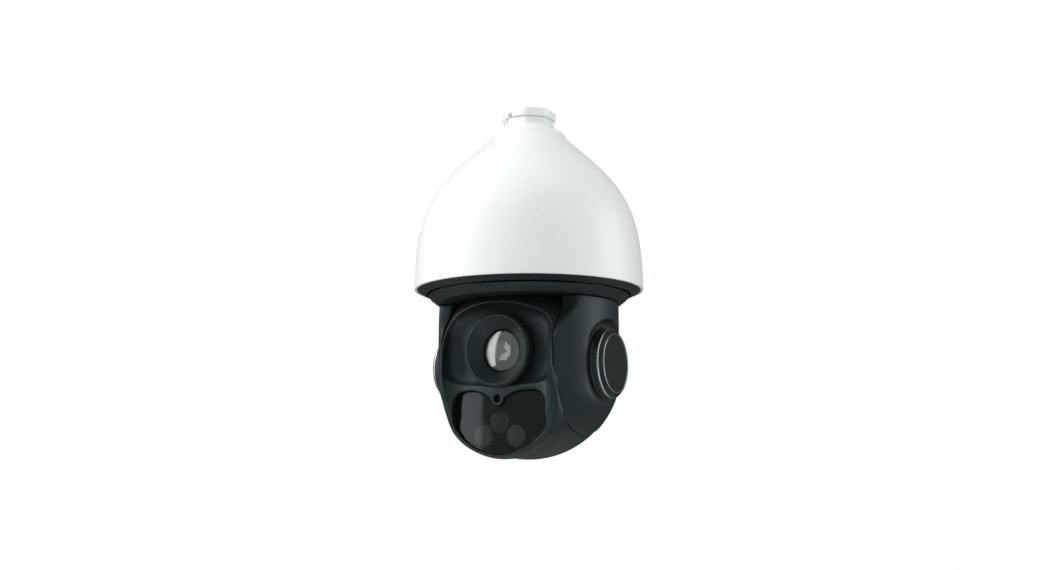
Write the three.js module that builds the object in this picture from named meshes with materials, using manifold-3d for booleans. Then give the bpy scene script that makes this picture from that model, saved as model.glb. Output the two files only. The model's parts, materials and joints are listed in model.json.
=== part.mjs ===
// A hanging infrared speed dome camera. Millimetres, +Z up, the camera head faces -Y.
// Inside the group heights are measured up from the tilt axis, and "forward" means towards -Y.
import * as THREE from "three";
import { mergeVertices } from "three/addons/utils/BufferGeometryUtils.js";
import Module from "manifold-3d";

const wasm = await Module();
wasm.setup();

// ---- Driving dimensions ----
const gap = 0.3; // clearance between pieces that touch
const wall = 2.5; // every moulded or cast wall

// Camera head
const headRadius = 85.5;
const headWidth = 111.2; // between the two flat sides
const faceSetback = 35.5; // from the ball's pole back to the recessed face
const cheekWidth = 2.6; // ball left standing on each side of the face
const visorDrop = 31.5; // from the ball's top down to the visor's ridge
const visorArch = 112; // radius of the ridge, seen from the front
const visorCorner = 8;
const shellSplit = 18; // the head's two shells part this far behind the tilt axis
const jawRise = 7; // the jaw's middle stands this far in front of the face
const jawOverhang = 11; // chin corner past the ball's radius
const jawClearance = 0.7; // lens bezel to the jaw
const jawArcDrop = 21; // centre of the chin's arc, below the tilt axis
const jawArcRadius = 60;
const jawInset = 3.5; // the jaw's sides inside the cheeks
const jawFrame = 3; // width of the jaw left standing around the window
const jawCurve = 205; // radius of the jaw's front, seen from above

// Lens
const lensHeight = 10.9; // lens axis above the tilt axis
const lensThroat = 21.7; // radius of the bezel's throat
const bezelRadius = 32.5;
const bezelDepth = 9.6; // bezel's front in front of the face
const barrelRadius = 20;
const barrelWall = 2.2;
const barrelBack = -6; // forward of the tilt axis
const zoomTravel = 9;
const focusTravel = 5;
const filterTravel = 14;
const filterHalf = 9; // half the side of each filter pane

// Infrared window and lamps
const windowThickness = 2.5;
const lobeDrop = 1.3; // jaw's top to the window's lobes
const lobeRadius = 12;
const sensorInset = 8.7; // jaw's top down to the light sensor
const sensorRadius = 3.3;
const sensorBoss = 7;
const lampRadius = 9.2;
const lampDrop = 51; // top lamp below the tilt axis
const lampGap = 1.2; // between the lamps
const lampTurn = 35.2; // degrees from level, top lamp down to each side lamp

// Arms and turntable
const sideGap = 0.6; // head's flat side to the arm
const armSwell = 1; // arm's round part past the ball's radius
const neckInset = 2; // arm's neck inside its round part
const neckHalf = 41; // half the neck's width at the turntable
const neckFillet = 6;
const lipDrop = 28.5; // ball's top down to the turntable's lip
const bowlGap = 3; // ball to bowl
const skirtRise = 7.3;
const skirtFlare = 7.8;
const runGap = 0.7; // turntable to the fixed ring
const capRadius = 30;
const capFace = 86.8; // from the centre plane
const capSlope = 2.8; // depth of the slope from the cap's side up to its face
const dishDepth = 11.6; // dish floor behind the cap's face
const dishRadius = 41.3;
const dishDrop = 3.7; // dish's centre below the tilt axis
const trimRadius = 25.35;
const trimWidth = 1.3;
const trimDepth = 1.4; // seat of the ring in the cap's face
const bandWidth = 1.6; // ring around the cap's side
const bandDepth = 1.2;

// Housing
const ringOverhang = 8.5; // fixed ring past the turntable
const rimOverhang = 3; // housing past the fixed ring
const rimRise = 12; // turntable's lip up to the housing's rim
const shoulderRadius = 36.2;
const shoulderHeight = 142; // above the rim
const rimPull = 80; // handles of the bell's curve
const shoulderPull = 68;
const shoulderSlope = -42; // degrees
const neckRadius = 22;
const neckRise = 11; // shoulder to the neck's foot
const collarRadius = 24.2;
const collarHeight = 7.5;
const neckLength = 8.5; // neck's foot to the collar
const cableRadius = 14;
const slotTurn = -16; // degrees from the front, towards -X
const slotWidth = 4;
const gasketWidth = 3;
const ringSeat = 4; // fixed ring up inside the rim
const ringFlange = 6;

// Pan drive, stacked upwards from the bowl
const hubRadius = 12;
const hubBore = 9.2;
const pulleyHeight = 6;
const toothDepth = 1;
const hubFlange = 30;
const hubFlangeHeight = 3;
const panPulleyRadius = 34;
const panMotorPulleyRadius = 8.5;
const panDriveReach = 58; // hub to motor
const panDriveTurn = 35; // degrees
const motorSide = 42;
const motorHeight = 30;
const plateThickness = 3;
const bearingWidth = 6;
const bearingDepth = 7;
const slipLength = 30;
const boardThickness = 1.6;
const mainBoardRadius = 70;
const powerBoardRadius = 50;
const boardPitch = 20;

// Tilt drive in the left arm
const shaftRadius = 8;
const tiltBearingRadius = 13;
const tiltPulleyRadius = 22;
const tiltMotorPulleyRadius = 7;
const tiltDriveReach = 38; // tilt axis up to the motor
const tiltMotorSide = 28;
const tiltMotorHeight = 7;
const tiltPulleyWidth = 5;
const beltThickness = 2.1; // from the pulley's radius to the belt's back
const beltSlack = 0.5;

// Internal fan and heat sink
const fanSide = 40;
const fanDepth = 10;
const fanBlades = 7;
const fanHub = 6;
const finPitch = 9;
const finThickness = 2;

const roundSides = 32;
const smallSides = 12;
const trimSides = 24;
const cut = 1; // how far a cutting solid reaches past what it cuts

// ---- Worked out from the dimensions above ----
const neckTop = headRadius - lipDrop;
const rimHeight = neckTop + rimRise;
const topHeight = rimHeight + shoulderHeight + neckRise + neckLength + collarHeight;
const faceDepth = headRadius - faceSetback;
const headHalf = headWidth / 2;
const faceHalf = headHalf - cheekWidth;
const visorTop = headRadius - visorDrop;
const jawHalf = faceHalf - jawInset;
const jawDepth = faceDepth + jawRise;
const jawTop = bezelRadius - lensHeight + jawClearance; // below the tilt axis
const lobeTop = jawTop + lobeDrop;
const sensorDrop = jawTop + sensorInset;
const armInner = headHalf + sideGap;
const armRadius = headRadius + armSwell;
const columnRadius = armRadius - neckInset;
const bowlRadius = headRadius + bowlGap;
const bowlOuter = bowlRadius + wall;
const lipRadius = Math.sqrt(bowlRadius ** 2 - neckTop ** 2);
const skirtRadius = columnRadius + skirtFlare;
const ringInner = skirtRadius + runGap;
const ringRadius = ringInner + ringOverhang;
const rimRadius = ringRadius + rimOverhang;
const skirtTop = neckTop + skirtRise;

const lampPitch = 2 * lampRadius + lampGap;
const lampSide = lampPitch * Math.cos(THREE.MathUtils.degToRad(lampTurn));
const lampLow = lampDrop + lampPitch * Math.sin(THREE.MathUtils.degToRad(lampTurn));
const lampSpots = [
  { name: "ir_lens_top", x: 0, drop: lampDrop },
  { name: "ir_lens_left", x: -lampSide, drop: lampLow },
  { name: "ir_lens_right", x: lampSide, drop: lampLow },
];

// ---- Solids ----
const axes = {
  z: new THREE.Matrix4(),
  x: new THREE.Matrix4().makeBasis(
    new THREE.Vector3(0, 1, 0), new THREE.Vector3(0, 0, 1), new THREE.Vector3(1, 0, 0)),
  forward: new THREE.Matrix4().makeBasis(
    new THREE.Vector3(1, 0, 0), new THREE.Vector3(0, 0, 1), new THREE.Vector3(0, -1, 0)),
};

// A closed three.js geometry as a solid that can be joined and cut.
function solid(geometry) {
  const bare = geometry.clone();
  bare.deleteAttribute("normal");
  bare.deleteAttribute("uv");
  const merged = mergeVertices(bare, 1e-4);
  const corners = [];
  const index = merged.index.array;
  for (let i = 0; i < index.length; i += 3) {
    const [a, b, c] = [index[i], index[i + 1], index[i + 2]];
    if (a !== b && b !== c && c !== a) corners.push(a, b, c);
  }
  const mesh = new wasm.Mesh({
    numProp: 3,
    vertProperties: merged.attributes.position.array,
    triVerts: new Uint32Array(corners),
  });
  return new wasm.Manifold(mesh);
}

// Turns a profile of [radius, height] points about an axis. It ends on the axis or closes on itself.
function turned(profile, axis = "z", sides = roundSides) {
  const closed = profile[0][0] > 0 || profile.at(-1)[0] > 0;
  const loop = closed ? [...profile, profile[0]] : profile;
  const area = profile.reduce((sum, [r, h], i) => {
    const [nextR, nextH] = profile[(i + 1) % profile.length];
    return sum + r * nextH - nextR * h;
  }, 0);
  const upwards = area > 0 ? loop : [...loop].reverse();
  const points = upwards.map(([r, h]) => new THREE.Vector2(r, h));
  const geometry = new THREE.LatheGeometry(points, sides);
  geometry.rotateX(Math.PI / 2);
  geometry.applyMatrix4(axes[axis]);
  return solid(geometry);
}

function ring(inner, outer, low, high, axis = "z", sides = roundSides) {
  return turned([[inner, low], [outer, low], [outer, high], [inner, high]], axis, sides);
}

function disc(radius, low, high, axis = "z", sides = roundSides) {
  return turned([[0, low], [radius, low], [radius, high], [0, high]], axis, sides);
}

// Extrudes an outline along an axis, from low to high.
function slab(shape, low, high, axis = "z", curveSegments = 5) {
  const geometry = new THREE.ExtrudeGeometry(shape, {
    depth: high - low, bevelEnabled: false, curveSegments });
  geometry.translate(0, 0, low);
  geometry.applyMatrix4(axes[axis]);
  return solid(geometry);
}

function block([x0, x1], [f0, f1], [z0, z1]) {
  const geometry = new THREE.BoxGeometry(x1 - x0, f1 - f0, z1 - z0);
  geometry.translate((x0 + x1) / 2, -(f0 + f1) / 2, (z0 + z1) / 2);
  return solid(geometry);
}

function ball(radius) {
  return solid(new THREE.SphereGeometry(radius, 28, 18));
}

function arcPoints(centreR, centreH, radius, from, to, steps) {
  const points = [];
  for (let i = 0; i <= steps; i++) {
    const angle = THREE.MathUtils.degToRad(from + ((to - from) * i) / steps);
    points.push([centreR + radius * Math.cos(angle), centreH + radius * Math.sin(angle)]);
  }
  return points;
}

// A belt around two pulleys: the first on the origin, the second at the given reach along shape X.
function beltShape(radiusA, radiusB, reach) {
  const tilt = Math.asin((radiusA - radiusB) / reach);
  const turn = Math.PI / 2 - tilt;
  const shape = new THREE.Shape();
  shape.absarc(reach, 0, radiusB, -turn, turn, false);
  shape.absarc(0, 0, radiusA, turn, 2 * Math.PI - turn, false);
  shape.closePath();
  return shape;
}

function beltSolid(radiusA, radiusB, reach, low, high, axis) {
  const arcSegments = 16;
  const inner = beltShape(radiusA + beltSlack, radiusB + beltSlack, reach);
  const outer = beltShape(radiusA + beltThickness, radiusB + beltThickness, reach);
  return slab(outer, low, high, axis, arcSegments)
    .subtract(slab(inner, low - cut, high + cut, axis, arcSegments));
}

// ---- Materials ----
function finish(colour, roughness, metalness = 0) {
  return new THREE.MeshStandardMaterial({ color: colour, roughness, metalness });
}

const finishes = {
  white: finish(0xf1f3f2, 0.4),
  black: finish(0x23292a, 0.45),
  darkGloss: finish(0x101314, 0.15),
  glass: finish(0x9fb4bd, 0.05),
  chrome: finish(0xb8bcbc, 0.2, 1),
  steel: finish(0x8a8d90, 0.35, 1),
  aluminium: finish(0xa9adb0, 0.4, 0.9),
  rubber: finish(0x1a1a1a, 0.85),
  board: finish(0x1d5a35, 0.5),
  plastic: finish(0x2b2d2f, 0.6),
};

const camera = new THREE.Group();
camera.position.z = -topHeight;

function add(name, shape, material) {
  const mesh = shape.getMesh();
  const geometry = new THREE.BufferGeometry();
  geometry.setAttribute("position", new THREE.BufferAttribute(mesh.vertProperties, 3));
  geometry.setIndex(new THREE.BufferAttribute(mesh.triVerts, 1));
  geometry.computeVertexNormals();
  const piece = new THREE.Mesh(geometry, finishes[material]);
  piece.name = name;
  camera.add(piece);
}

// ---- Housing ----
const shoulderTop = rimHeight + shoulderHeight;
const neckFoot = shoulderTop + neckRise;
const collarFoot = neckFoot + neckLength;

// Points of the bell's outside from the rim up to the shoulder, moved in by a wall.
function bellCurve(inset, steps) {
  const slope = THREE.MathUtils.degToRad(shoulderSlope);
  const curve = new THREE.CubicBezierCurve(
    new THREE.Vector2(rimRadius, rimHeight),
    new THREE.Vector2(rimRadius, rimHeight + rimPull),
    new THREE.Vector2(shoulderRadius + shoulderPull * Math.cos(slope),
      shoulderTop + shoulderPull * Math.sin(slope)),
    new THREE.Vector2(shoulderRadius, shoulderTop));
  return curve.getPoints(steps).map((point, i) => {
    const along = curve.getTangent(i / steps);
    return [point.x - inset * along.y, point.y + inset * along.x];
  });
}

const upperHousing = (() => {
  const outside = [
    ...bellCurve(0, 8),
    [shoulderRadius - 3.2, shoulderTop + 6.4],
    [neckRadius + 1.5, neckFoot],
    [neckRadius, neckFoot + 1],
    [neckRadius, collarFoot - gap],
  ];
  const inside = [
    [cableRadius, collarFoot - gap],
    [cableRadius, neckFoot],
    [shoulderRadius - 6, shoulderTop + 2],
    ...bellCurve(wall, 4).reverse(),
  ];
  return turned([...outside, ...inside]);
})();
add("upper_housing", upperHousing, "white");

const collarOutline = (() => {
  const reach = collarRadius / Math.cos(Math.PI / 8);
  const corners = [];
  for (let i = 0; i < 8; i++) {
    const angle = ((i + 0.5) * Math.PI) / 4;
    corners.push(new THREE.Vector2(reach * Math.cos(angle), reach * Math.sin(angle)));
  }
  return new THREE.Shape(corners);
})();
const slotAngle = THREE.MathUtils.degToRad(slotTurn);
const collarBody = slab(collarOutline, collarFoot, topHeight)
  .intersect(disc(collarRadius * 1.04, collarFoot, topHeight))
  .subtract(disc(cableRadius, collarFoot - 1, topHeight + 1, "z", smallSides));
const collarSlot = block([-slotWidth / 2, slotWidth / 2], [neckRadius, collarRadius + 3],
  [collarFoot - 1, collarFoot + collarHeight / 2]).rotate([0, 0, THREE.MathUtils.radToDeg(slotAngle)]);
add("neck_collar", collarBody.subtract(collarSlot), "white");

const spigotRadius = cableRadius - gap;
const spigotBore = cableRadius - wall;
add("neck_liner", ring(spigotBore, spigotRadius, neckFoot - 4, topHeight - 1, "z", smallSides), "rubber");

const gasketRadius = rimRadius - wall - gap - 1;
const ringTop = rimHeight + ringSeat;
const gasketFoot = ringTop + gap;
add("rim_gasket",
  ring(gasketRadius - gasketWidth, gasketRadius, gasketFoot, gasketFoot + gasketWidth), "rubber");
add("base_ring", turned([
  [ringInner, skirtTop + runGap], [ringRadius, rimHeight], [ringRadius - 2 * gap, ringTop],
  [ringRadius - ringFlange, ringTop], [ringRadius - ringFlange, rimHeight + 1],
  [ringInner, skirtTop + runGap + wall],
]), "black");

// ---- Turntable ----
const bowlFlare = THREE.MathUtils.radToDeg(Math.asin(neckTop / bowlRadius));
const bowlOuterFlare = THREE.MathUtils.radToDeg(Math.asin(skirtTop / bowlOuter));
const turntable = turned([
  ...arcPoints(0, 0, bowlRadius, 90, bowlFlare, 6).slice(0, -1),
  [lipRadius, neckTop],
  [columnRadius, neckTop],
  [skirtRadius, skirtTop],
  [skirtRadius - 3, skirtTop + 0.4],
  ...arcPoints(0, 0, bowlOuter, bowlOuterFlare + 6, 90, 5),
]);
const hubFoot = bowlOuter + gap;
const cableHole = disc(hubBore, bowlRadius - wall, bowlOuter + cut, "z", smallSides);
add("turntable", turntable.subtract(cableHole), "black");

const pulleyFoot = hubFoot + hubFlangeHeight + gap;
const plateFoot = pulleyFoot + pulleyHeight + plateThickness;
const plateTop = plateFoot + plateThickness;
const bearingTop = plateFoot + bearingWidth;
const slipFoot = bearingTop + 4;
const slipTop = slipFoot + slipLength;
add("pan_hub", turned([
  [hubBore, hubFoot], [hubFlange, hubFoot], [hubFlange, hubFoot + hubFlangeHeight],
  [hubRadius, hubFoot + hubFlangeHeight],
  [hubRadius, slipFoot], [hubBore, slipFoot],
], "z", smallSides), "aluminium");

// A pulley standing on the XY plane. A bore of 0 leaves it solid.
function toothedPulley(radius, bore, height, teeth) {
  const half = Math.PI / teeth / 2.4;
  const corners = [];
  for (let i = 0; i < teeth * 2; i++) {
    const angle = (i * Math.PI) / teeth;
    const reach = i % 2 ? radius - toothDepth : radius;
    for (const turn of [angle - half, angle + half])
      corners.push(new THREE.Vector2(reach * Math.cos(turn), reach * Math.sin(turn)));
  }
  const body = slab(new THREE.Shape(corners), 0, height);
  return bore ? body.subtract(disc(bore, -cut, height + cut, "z", smallSides)) : body;
}

add("pan_pulley", toothedPulley(panPulleyRadius, hubRadius + gap, pulleyHeight, 18)
  .translate([0, 0, pulleyFoot]), "plastic");

// ---- Pan drive on the chassis plate ----
const motorAngle = THREE.MathUtils.degToRad(panDriveTurn);
const motorX = panDriveReach * Math.cos(motorAngle);
const motorY = panDriveReach * Math.sin(motorAngle);
const plateRadius = gasketRadius - 8;
const bearingOuter = hubRadius + gap + bearingDepth;
const standoffSpots = [80, 200, 320].map((turn) => {
  const angle = THREE.MathUtils.degToRad(turn);
  const reach = powerBoardRadius - 7;
  return [reach * Math.cos(angle), reach * Math.sin(angle)];
});
const boardHole = panMotorPulleyRadius + 4;
const chassis = disc(plateRadius, plateFoot, plateTop)
  .subtract(disc(bearingOuter + gap, plateFoot - 1, plateTop + 1, "z", smallSides))
  .subtract(disc(boardHole, plateFoot - 1, plateTop + 1, "z", smallSides)
    .translate([motorX, motorY, 0]));
add("chassis_plate", chassis, "steel");
add("pan_bearing_outer",
  ring(bearingOuter - 2, bearingOuter, plateFoot, bearingTop, "z", smallSides), "steel");
add("pan_bearing_inner",
  ring(hubRadius + gap, hubRadius + gap + 2, plateFoot, bearingTop, "z", smallSides), "steel");

const motorFoot = plateTop + gap;
const motorTop = motorFoot + motorHeight;
const motorHalf = motorSide / 2;
const motorBody = block([-motorHalf, motorHalf], [-motorHalf, motorHalf], [motorFoot, motorTop])
  .subtract(disc(4, motorFoot - 1, motorFoot + 6, "z", smallSides));
add("pan_motor", motorBody.rotate([0, 0, panDriveTurn]).translate([motorX, motorY, 0]), "steel");
const motorPulley = toothedPulley(panMotorPulleyRadius, 0, pulleyHeight, 9)
  .translate([0, 0, pulleyFoot]);
const motorShaft = disc(2.5, pulleyFoot + 1, motorFoot + 4, "z", smallSides);
add("pan_motor_pulley", motorPulley.add(motorShaft).translate([motorX, motorY, 0]), "plastic");
const panBelt = beltSolid(panPulleyRadius, panMotorPulleyRadius, panDriveReach,
  pulleyFoot + 0.5, pulleyFoot + pulleyHeight - 0.5, "z");
add("pan_belt", panBelt.rotate([0, 0, panDriveTurn]), "rubber");

const slipRadius = hubRadius - 2;
add("slip_ring_rotor", turned([
  [0, slipFoot + gap], [slipRadius, slipFoot + gap], [slipRadius, slipFoot + 3],
  [5, slipFoot + 3], [5, slipTop - 4], [0, slipTop - 4],
], "z", smallSides), "plastic");
add("slip_ring_stator", turned([
  [5.5, slipFoot + 3.5], [hubRadius, slipFoot + 3.5], [hubRadius, slipTop], [0, slipTop],
  [0, slipTop - 3.5], [5.5, slipTop - 3.5],
], "z", smallSides), "plastic");

const mainBoardFoot = motorTop + 3;
const powerBoardFoot = mainBoardFoot + boardPitch;
const boardSpots = standoffSpots.map(([x, y]) => disc(2, mainBoardFoot - 1, powerBoardFoot + 4, "z", 12)
  .translate([x, y, 0]));
let mainBoard = disc(mainBoardRadius, mainBoardFoot, mainBoardFoot + boardThickness)
  .subtract(disc(hubRadius + 3, mainBoardFoot - 1, mainBoardFoot + 3, "z", smallSides));
let powerBoard = disc(powerBoardRadius, powerBoardFoot, powerBoardFoot + boardThickness);
for (const hole of boardSpots) {
  mainBoard = mainBoard.subtract(hole);
  powerBoard = powerBoard.subtract(hole);
}
const boardTop = powerBoardFoot + boardThickness;
const networkSocket = block([-30, -14], [-6, 10], [boardTop - 0.5, boardTop + 11])
  .subtract(block([-27, -17], [0, 11], [boardTop + 2, boardTop + 9]));
const powerTerminal = block([8, 28], [4, 14], [boardTop - 0.5, boardTop + 9]);
const processor = block([-20, 14], [28, 52], [mainBoardFoot + 1, mainBoardFoot + 8]);
add("main_board", mainBoard.add(processor), "board");
add("power_board", powerBoard.add(networkSocket).add(powerTerminal), "board");
standoffSpots.forEach(([x, y], i) => {
  const post = disc(3.5, plateTop + gap, mainBoardFoot - gap, "z", 6)
    .add(disc(1.7, mainBoardFoot - 1, mainBoardFoot + 4, "z", 12))
    .add(disc(3.5, mainBoardFoot + boardThickness + gap, powerBoardFoot - gap, "z", 6))
    .add(disc(1.7, powerBoardFoot - 1, powerBoardFoot + 3, "z", 12));
  add(`board_standoff_${i + 1}`, post.translate([x, y, 0]), "steel");
});

// ---- Arms ----
// The arm's outline from the side, [forward, up], with a given inset.
function armOutline(inset) {
  const radius = Math.sqrt(armRadius ** 2 - armInner ** 2) - inset;
  const half = neckHalf - inset;
  const bend = neckFillet + inset;
  const bendHeight = Math.sqrt((radius + bend) ** 2 - (half + bend) ** 2);
  const meet = Math.atan2(bendHeight, half + bend);
  const top = Math.max(neckTop, bendHeight) + 4;
  const shape = new THREE.Shape();
  shape.moveTo(half, top);
  shape.lineTo(half, bendHeight);
  shape.absarc(half + bend, bendHeight, bend, Math.PI, Math.PI + meet, false);
  shape.absarc(0, 0, radius, meet, Math.PI - meet, true);
  shape.absarc(-half - bend, bendHeight, bend, -meet, 0, false);
  shape.lineTo(-half, top);
  shape.closePath();
  return shape;
}

// The round part and the column above it, as one turned solid.
function armEnvelope(inset, top) {
  const radius = armRadius - inset;
  const column = columnRadius - inset;
  const join = THREE.MathUtils.radToDeg(Math.acos(column / radius));
  return turned([...arcPoints(0, 0, radius, -90, -join, 7), [column, top], [0, top]]);
}

const armTop = neckTop - gap;
const dishFloor = capFace - dishDepth;
const armFrameFace = armInner + wall;
const outerArm = slab(armOutline(0), armInner, armRadius + cut, "x")
  .intersect(armEnvelope(0, armTop));

// The dish around the side cap, with a floor and a slightly opening wall.
function dish(floor, radius) {
  const rim = armRadius + wall;
  return turned([[0, floor], [radius, floor], [radius + 1, rim], [0, rim]], "x")
    .translate([0, 0, -dishDrop]);
}
const hollowArm = slab(armOutline(wall), armInner - cut, armRadius + cut, "x")
  .intersect(armEnvelope(wall, armTop + cut))
  .subtract(dish(dishFloor - wall, dishRadius + wall));
const rightCover = outerArm.subtract(dish(dishFloor, dishRadius)).subtract(hollowArm);
const framePlate = slab(armOutline(wall + gap), armInner, armFrameFace, "x")
  .intersect(armEnvelope(wall + gap, armTop))
  .subtract(disc(tiltBearingRadius + gap, armInner - cut, armFrameFace + cut, "x", smallSides));
const bearingFar = armInner + bearingWidth;
const tiltBearing = ring(shaftRadius + gap, tiltBearingRadius, armInner + gap, bearingFar, "x",
  smallSides);
const capSide = capFace - capSlope;
const bandSeat = capSide - bandWidth - gap;
const trimInner = trimRadius - trimWidth / 2;
const trimOuter = trimRadius + trimWidth / 2;
const sideCap = turned([
  [0, dishFloor + gap], [capRadius, dishFloor + gap], [capRadius, bandSeat],
  [capRadius - bandDepth, bandSeat], [capRadius - bandDepth, capSide], [capRadius, capSide],
  [trimOuter + 2 * gap, capFace], [trimOuter + gap, capFace],
  [trimOuter + gap, capFace - trimDepth], [trimInner - gap, capFace - trimDepth],
  [trimInner - gap, capFace], [0, capFace],
], "x", trimSides);
const capTrim = ring(trimInner, trimOuter, capFace - trimDepth + gap, capFace + gap / 2, "x", trimSides);
const capBand = ring(capRadius - bandDepth + gap, capRadius + gap, bandSeat + gap, capSide - gap, "x",
  trimSides);
const innerWall = headHalf - wall;
const shaft = disc(shaftRadius, innerWall - 3, bearingFar + 1, "x", smallSides)
  .add(disc(shaftRadius + 6, innerWall - 3, innerWall - gap, "x", smallSides));
const tiltMotorNear = armFrameFace + gap;
const tiltMotorFar = tiltMotorNear + tiltMotorHeight;
const drivePlane = tiltMotorFar + 1;
const driveFar = drivePlane + tiltPulleyWidth;
const leftShaft = shaft.add(disc(shaftRadius, bearingFar, driveFar, "x", smallSides));

for (const [side, sign] of [["left", -1], ["right", 1]]) {
  const flip = (shape) => (sign < 0 ? shape.mirror([1, 0, 0]) : shape);
  add(`${side}_arm_cover`, flip(rightCover), "black");
  add(`${side}_arm_frame`, flip(framePlate), "plastic");
  add(`${side}_tilt_bearing`, flip(tiltBearing), "steel");
  add(`${side}_side_cap`, flip(sideCap), "black");
  add(`${side}_cap_trim`, flip(capTrim), "chrome");
  add(`${side}_cap_band`, flip(capBand), "chrome");
  add(`${side}_tilt_shaft`, flip(sign < 0 ? leftShaft : shaft), "steel");
}

// ---- Tilt drive in the left arm, made on the right and mirrored ----
// Turns a solid made along Z onto the X axis.
function alongX(shape) {
  return shape.rotate([0, 90, 0]);
}
const tiltHalf = tiltMotorSide / 2;
const tiltMotor = block([tiltMotorNear, tiltMotorFar], [-tiltHalf, tiltHalf], [-tiltHalf, tiltHalf])
  .subtract(disc(3.2, tiltMotorFar - 5, tiltMotorFar + 1, "x", smallSides));
const tiltPulley = alongX(toothedPulley(tiltPulleyRadius, shaftRadius + gap, tiltPulleyWidth, 12))
  .translate([drivePlane, 0, 0]);
const tiltPinion = alongX(toothedPulley(tiltMotorPulleyRadius, 0, tiltPulleyWidth, 8))
  .translate([drivePlane, 0, 0])
  .add(disc(2.2, tiltMotorFar - 4, drivePlane + 2, "x", smallSides));
const tiltBelt = alongX(beltSolid(tiltPulleyRadius, tiltMotorPulleyRadius,
  tiltDriveReach, 0.5, tiltPulleyWidth - 0.5, "z").rotate([0, 0, 180])).translate([drivePlane, 0, 0]);
function toLeft(shape, up) {
  return shape.translate([0, 0, up]).mirror([1, 0, 0]);
}
add("tilt_motor", toLeft(tiltMotor, tiltDriveReach), "steel");
add("tilt_pulley", toLeft(tiltPulley, 0), "plastic");
add("tilt_motor_pulley", toLeft(tiltPinion, tiltDriveReach), "plastic");
add("tilt_belt", toLeft(tiltBelt, 0), "rubber");

// ---- Head shells ----
// The jaw's outline from the front: an open top edge, straight sides and an arc for the chin.
function jawShape(inset, top = jawTop + inset) {
  const half = jawHalf - inset;
  const radius = jawArcRadius - inset;
  const drop = Math.sqrt(radius ** 2 - half ** 2);
  const turn = Math.atan2(drop, half);
  const shape = new THREE.Shape();
  shape.moveTo(half, -top);
  shape.lineTo(-half, -top);
  shape.absarc(0, -jawArcDrop, radius, Math.PI + turn, 2 * Math.PI - turn, false);
  shape.closePath();
  return shape;
}

// A large upright drum whose front is the jaw's curved face.
function jawFront(depth) {
  return turned([[0, -headRadius * 1.3], [jawCurve, -headRadius * 1.3], [jawCurve, 0], [0, 0]], "z", 96)
    .translate([0, jawCurve - depth, 0]);
}

// The recess of the face: straight sides, rounded upper corners and an arch for the visor's ridge.
function faceShape(grow) {
  const half = faceHalf + grow;
  const radius = visorArch + grow;
  const centre = visorTop - visorArch;
  const turn = Math.acos((half - visorCorner) / radius);
  const archEnd = centre + Math.sqrt(radius ** 2 - half ** 2);
  const shape = new THREE.Shape();
  shape.moveTo(-half, -headRadius);
  shape.lineTo(half, -headRadius);
  shape.lineTo(half, archEnd - visorCorner);
  shape.quadraticCurveTo(half, archEnd, radius * Math.cos(turn), centre + radius * Math.sin(turn));
  shape.absarc(0, centre, radius, turn, Math.PI - turn, false);
  shape.quadraticCurveTo(-half, archEnd, -half, archEnd - visorCorner);
  shape.closePath();
  return shape;
}

function headBody(inset) {
  const half = headHalf - inset;
  const radius = headRadius - inset;
  const side = block([-half, half], [-radius - 1, radius + 1], [-radius - 1, radius + 1]);
  const jaw = slab(jawShape(inset, jawTop), 0, jawDepth + 4, "forward")
    .intersect(ball(headRadius + jawOverhang - inset))
    .intersect(jawFront(jawDepth - inset));
  const recess = slab(faceShape(inset), faceDepth - inset, headRadius + 5, "forward");
  return ball(radius).intersect(side).subtract(recess).add(jaw);
}

// Window outline: two lobes on top, a notch around the light sensor between them, an arc below.
function windowShape(inset) {
  const half = jawHalf - jawFrame - inset;
  const arc = jawArcRadius - jawFrame - inset;
  const turn = Math.atan2(Math.sqrt(arc ** 2 - half ** 2), half);
  const lobe = lobeRadius;
  const top = -lobeTop - inset;
  const notch = sensorBoss + inset;
  const innerX = notch + 6;
  const shape = new THREE.Shape();
  shape.moveTo(-half, top - lobe);
  shape.absarc(0, -jawArcDrop, arc, Math.PI + turn, 2 * Math.PI - turn, false);
  shape.lineTo(half, top - lobe);
  shape.absarc(half - lobe, top - lobe, lobe, 0, Math.PI / 2, false);
  shape.lineTo(innerX + 8, top);
  shape.quadraticCurveTo(innerX, top, notch, -sensorDrop);
  shape.absarc(0, -sensorDrop, notch, 0, Math.PI, true);
  shape.quadraticCurveTo(-innerX, top, -innerX - 8, top);
  shape.lineTo(-half + lobe, top);
  shape.absarc(-half + lobe, top - lobe, lobe, Math.PI / 2, Math.PI, false);
  shape.closePath();
  return shape;
}

const headOuter = headBody(0);
const headInner = headBody(wall);
const spigot = lensThroat + 2.3;
const openings = [
  disc(spigot + gap, faceDepth - 8, headRadius, "forward").translate([0, 0, lensHeight]),
  slab(windowShape(0), faceDepth - 12, jawDepth + 5, "forward"),
  disc(sensorRadius + gap, faceDepth - 12, jawDepth + 5, "forward", smallSides)
    .translate([0, 0, -sensorDrop]),
  disc(shaftRadius + gap, -headHalf - 1, headHalf + 1, "x", smallSides),
];
const headShell = openings.reduce((shell, hole) => shell.subtract(hole),
  headOuter.subtract(headInner));
const farSide = headRadius + 20;
const frontHalf = block([-farSide, farSide], [-shellSplit, farSide], [-farSide, farSide]);
const rearHalf = block([-farSide, farSide], [-farSide, -shellSplit - gap - 1], [-farSide, farSide]);
add("head_front_shell", headShell.intersect(frontHalf), "black");
add("head_rear_shell", headShell.intersect(rearHalf), "black");
const sealBand = block([-farSide, farSide], [-shellSplit - 5, -shellSplit + 4], [-farSide, farSide]);
const sealCore = headBody(wall + gap).subtract(headBody(wall + gap + 1.5)).intersect(sealBand);
add("head_seal", sealCore, "rubber");

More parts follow.
